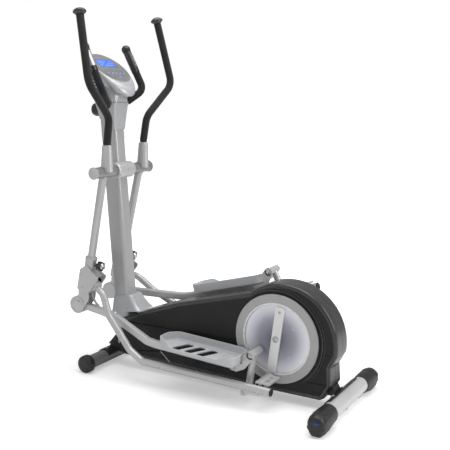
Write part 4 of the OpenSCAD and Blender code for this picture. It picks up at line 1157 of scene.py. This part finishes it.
# ---------------------------------------------------------------- crank discs
def disc_screws():
    screws = Solid()
    for angle in (127, 35, -52, -142):
        p = CRANK + turned(Vector((95, 0)), angle)
        screws.join(bolt(at(p, -62.2), LEFTWARD, 5.0, 2.6))
    return screws


def arm_corners(r0, r1, half):
    return [CRANK + turned(Vector(p), -7.9) for p in ((-half, r0), (half, r0), (half, r1), (-half, r1))]


arms = Solid()
for low, high, sign in ((-186, 138, -1), (-138, 186, 1)):
    rings = []
    for y, g in ((60.2, 0.6), (61.2, 0), (68.6, 0), (69.6, 0.8), (70, 2.2)):
        rings.append([at(p, sign * y) for p in fillet(arm_corners(low + g, high - g, 21 - g), 5, 4)])
    arms.loft(rings)
build("crank_bars", arms, "crank", ARM_PAINT, "silver_steel", ["crank_arms"])


def crank_hub():
    body = bolt(at(CRANK, -69.9), LEFTWARD, 11, 3.4)
    return body.join(bolt(at(CRANK + turned(Vector((0, 118)), -7.9), -69.9), LEFTWARD, 4.5, 2.2))


pair("disc_ring", turned_shape([(58.6, 26), (58.6, 188), (59.6, 190.4), (64.5, 191), (67.6, 190.4),
    (68.8, 188.4), (69.0, 186), (68.4, 184.6), (68.4, 156), (68.9, 155), (69.0, 152), (68.2, 149.6),
    (64.5, 148.2), (61.0, 147.6), (60.8, 26)], at(CRANK, 0), steps=96, loop=True), "crank", DISC_GREY,
    "disc_plastic", ["disc_left", "disc_right"], angle=24)
# Pale ring on the inner bevel of the disc, painted as the bright highlight line that the bevel catches.
pair("disc_bevel", turned_shape([(68.3, 155), (69.3, 154.2), (69.4, 151.2), (68.6, 148.6), (64.8, 147.4),
    (64.0, 149.5)], at(CRANK, 0), steps=96, loop=True), "crank", DISC_RIM_HIGHLIGHT, "disc_plastic")
pair("disc_dish", turned_shape([(60.9, 147), (61.9, 147), (62.8, 140), (62.9, 120), (62.4, 90),
    (61.9, 60), (61.6, 30), (61.5, 13), (60.9, 13)], at(CRANK, 0), steps=96, loop=True), "crank",
    shaded_dish_material(), "dish", ["disc_dishes"])
pair("disc_screws", disc_screws, "crank", ZINC, "zinc_steel")
pair("crank_hub_bolts", crank_hub, "crank", ZINC, "zinc_steel")


# Near-black painted shadow in the gap between the disc and the bearing housing.
pair("pin_shadow_ring", turned_shape([(70.2, 4), (70.2, 15), (71.4, 16), (73.4, 16), (74.2, 15), (74.2, 4)],
    at(PIN, 0), steps=36), "coupler", SHADOW_BLACK, "black_plastic")


# ---------------------------------------------------------------- floor and light
def pale_floor():
    mat, tree, shader, place = new_material("studio_floor")
    away = tree.nodes.new("ShaderNodeVectorMath")
    away.operation = "LENGTH"
    tree.links.new(place, away.inputs[0])
    tree.links.new(ramp(tree, noise(tree, place, 3.0), (0.3, grey(0.93)), (0.7, grey(0.95))),
        shader.inputs["Base Color"])
    shader.inputs["Roughness"].default_value = 0.9
    shader.inputs["Specular IOR Level"].default_value = 0.1
    shader.inputs["Emission Color"].default_value = (1, 1, 1, 1)
    glow = tree.nodes.new("ShaderNodeMath")
    glow.operation = "MULTIPLY"
    tree.links.new(spread(tree, away.outputs["Value"], 0.35, 1.0, 0.9, 2.4), glow.inputs[0])
    tree.links.new(tree.nodes.new("ShaderNodeLightPath").outputs["Is Camera Ray"], glow.inputs[1])
    tree.links.new(glow.outputs[0], shader.inputs["Emission Strength"])
    return mat


FLOOR_HALF = 14
bm = bmesh.new()
bmesh.ops.create_grid(bm, x_segments=8, y_segments=8, size=FLOOR_HALF)
floor_mesh = bpy.data.meshes.new("floor")
bm.to_mesh(floor_mesh)
bm.free()
floor_mesh.materials.append(pale_floor())
floor = bpy.data.objects.new("floor", floor_mesh)
bpy.context.scene.collection.objects.link(floor)


def softbox(name, place, target, size, power):
    data = bpy.data.lights.new(name, "AREA")
    data.shape, data.size, data.size_y, data.energy = "RECTANGLE", size[0], size[1], power
    lamp = bpy.data.objects.new(name, data)
    lamp.location = place
    lamp.rotation_euler = (Vector(target) - Vector(place)).to_track_quat("-Z", "Y").to_euler()
    bpy.context.scene.collection.objects.link(lamp)


LAMPS = (("overhead", (0.2, 0.1, 3.6), (0, 0, 0.4), (3.2, 3.2), 76),
    ("rear_right", (3.2, 0.6, 1.9), (0, 0, 0.7), (1.6, 2.4), 44),
    ("front_fill", (-1.8, -3.2, 1.8), (0, 0, 0.7), (2.0, 2.0), 9))
for lamp in LAMPS:
    softbox(*lamp)

SEEN_SKY, LIGHTING_SKY = 1.0, 0.39
world = bpy.data.worlds.new("studio")
bpy.context.scene.world = world
world.use_nodes = True
sky = world.node_tree
sky.nodes.clear()
seen, lit, choose = (sky.nodes.new(kind) for kind in ("ShaderNodeBackground", "ShaderNodeBackground",
    "ShaderNodeMixShader"))
seen.inputs["Strength"].default_value = SEEN_SKY
seen.inputs["Color"].default_value = (1, 1, 1, 1)
lit.inputs["Strength"].default_value = LIGHTING_SKY
lit.inputs["Color"].default_value = (1, 1, 1, 1)
path = sky.nodes.new("ShaderNodeLightPath")
sky.links.new(path.outputs["Is Camera Ray"], choose.inputs["Fac"])
sky.links.new(lit.outputs[0], choose.inputs[1])
sky.links.new(seen.outputs[0], choose.inputs[2])
sky.links.new(choose.outputs[0], sky.nodes.new("ShaderNodeOutputWorld").inputs["Surface"])
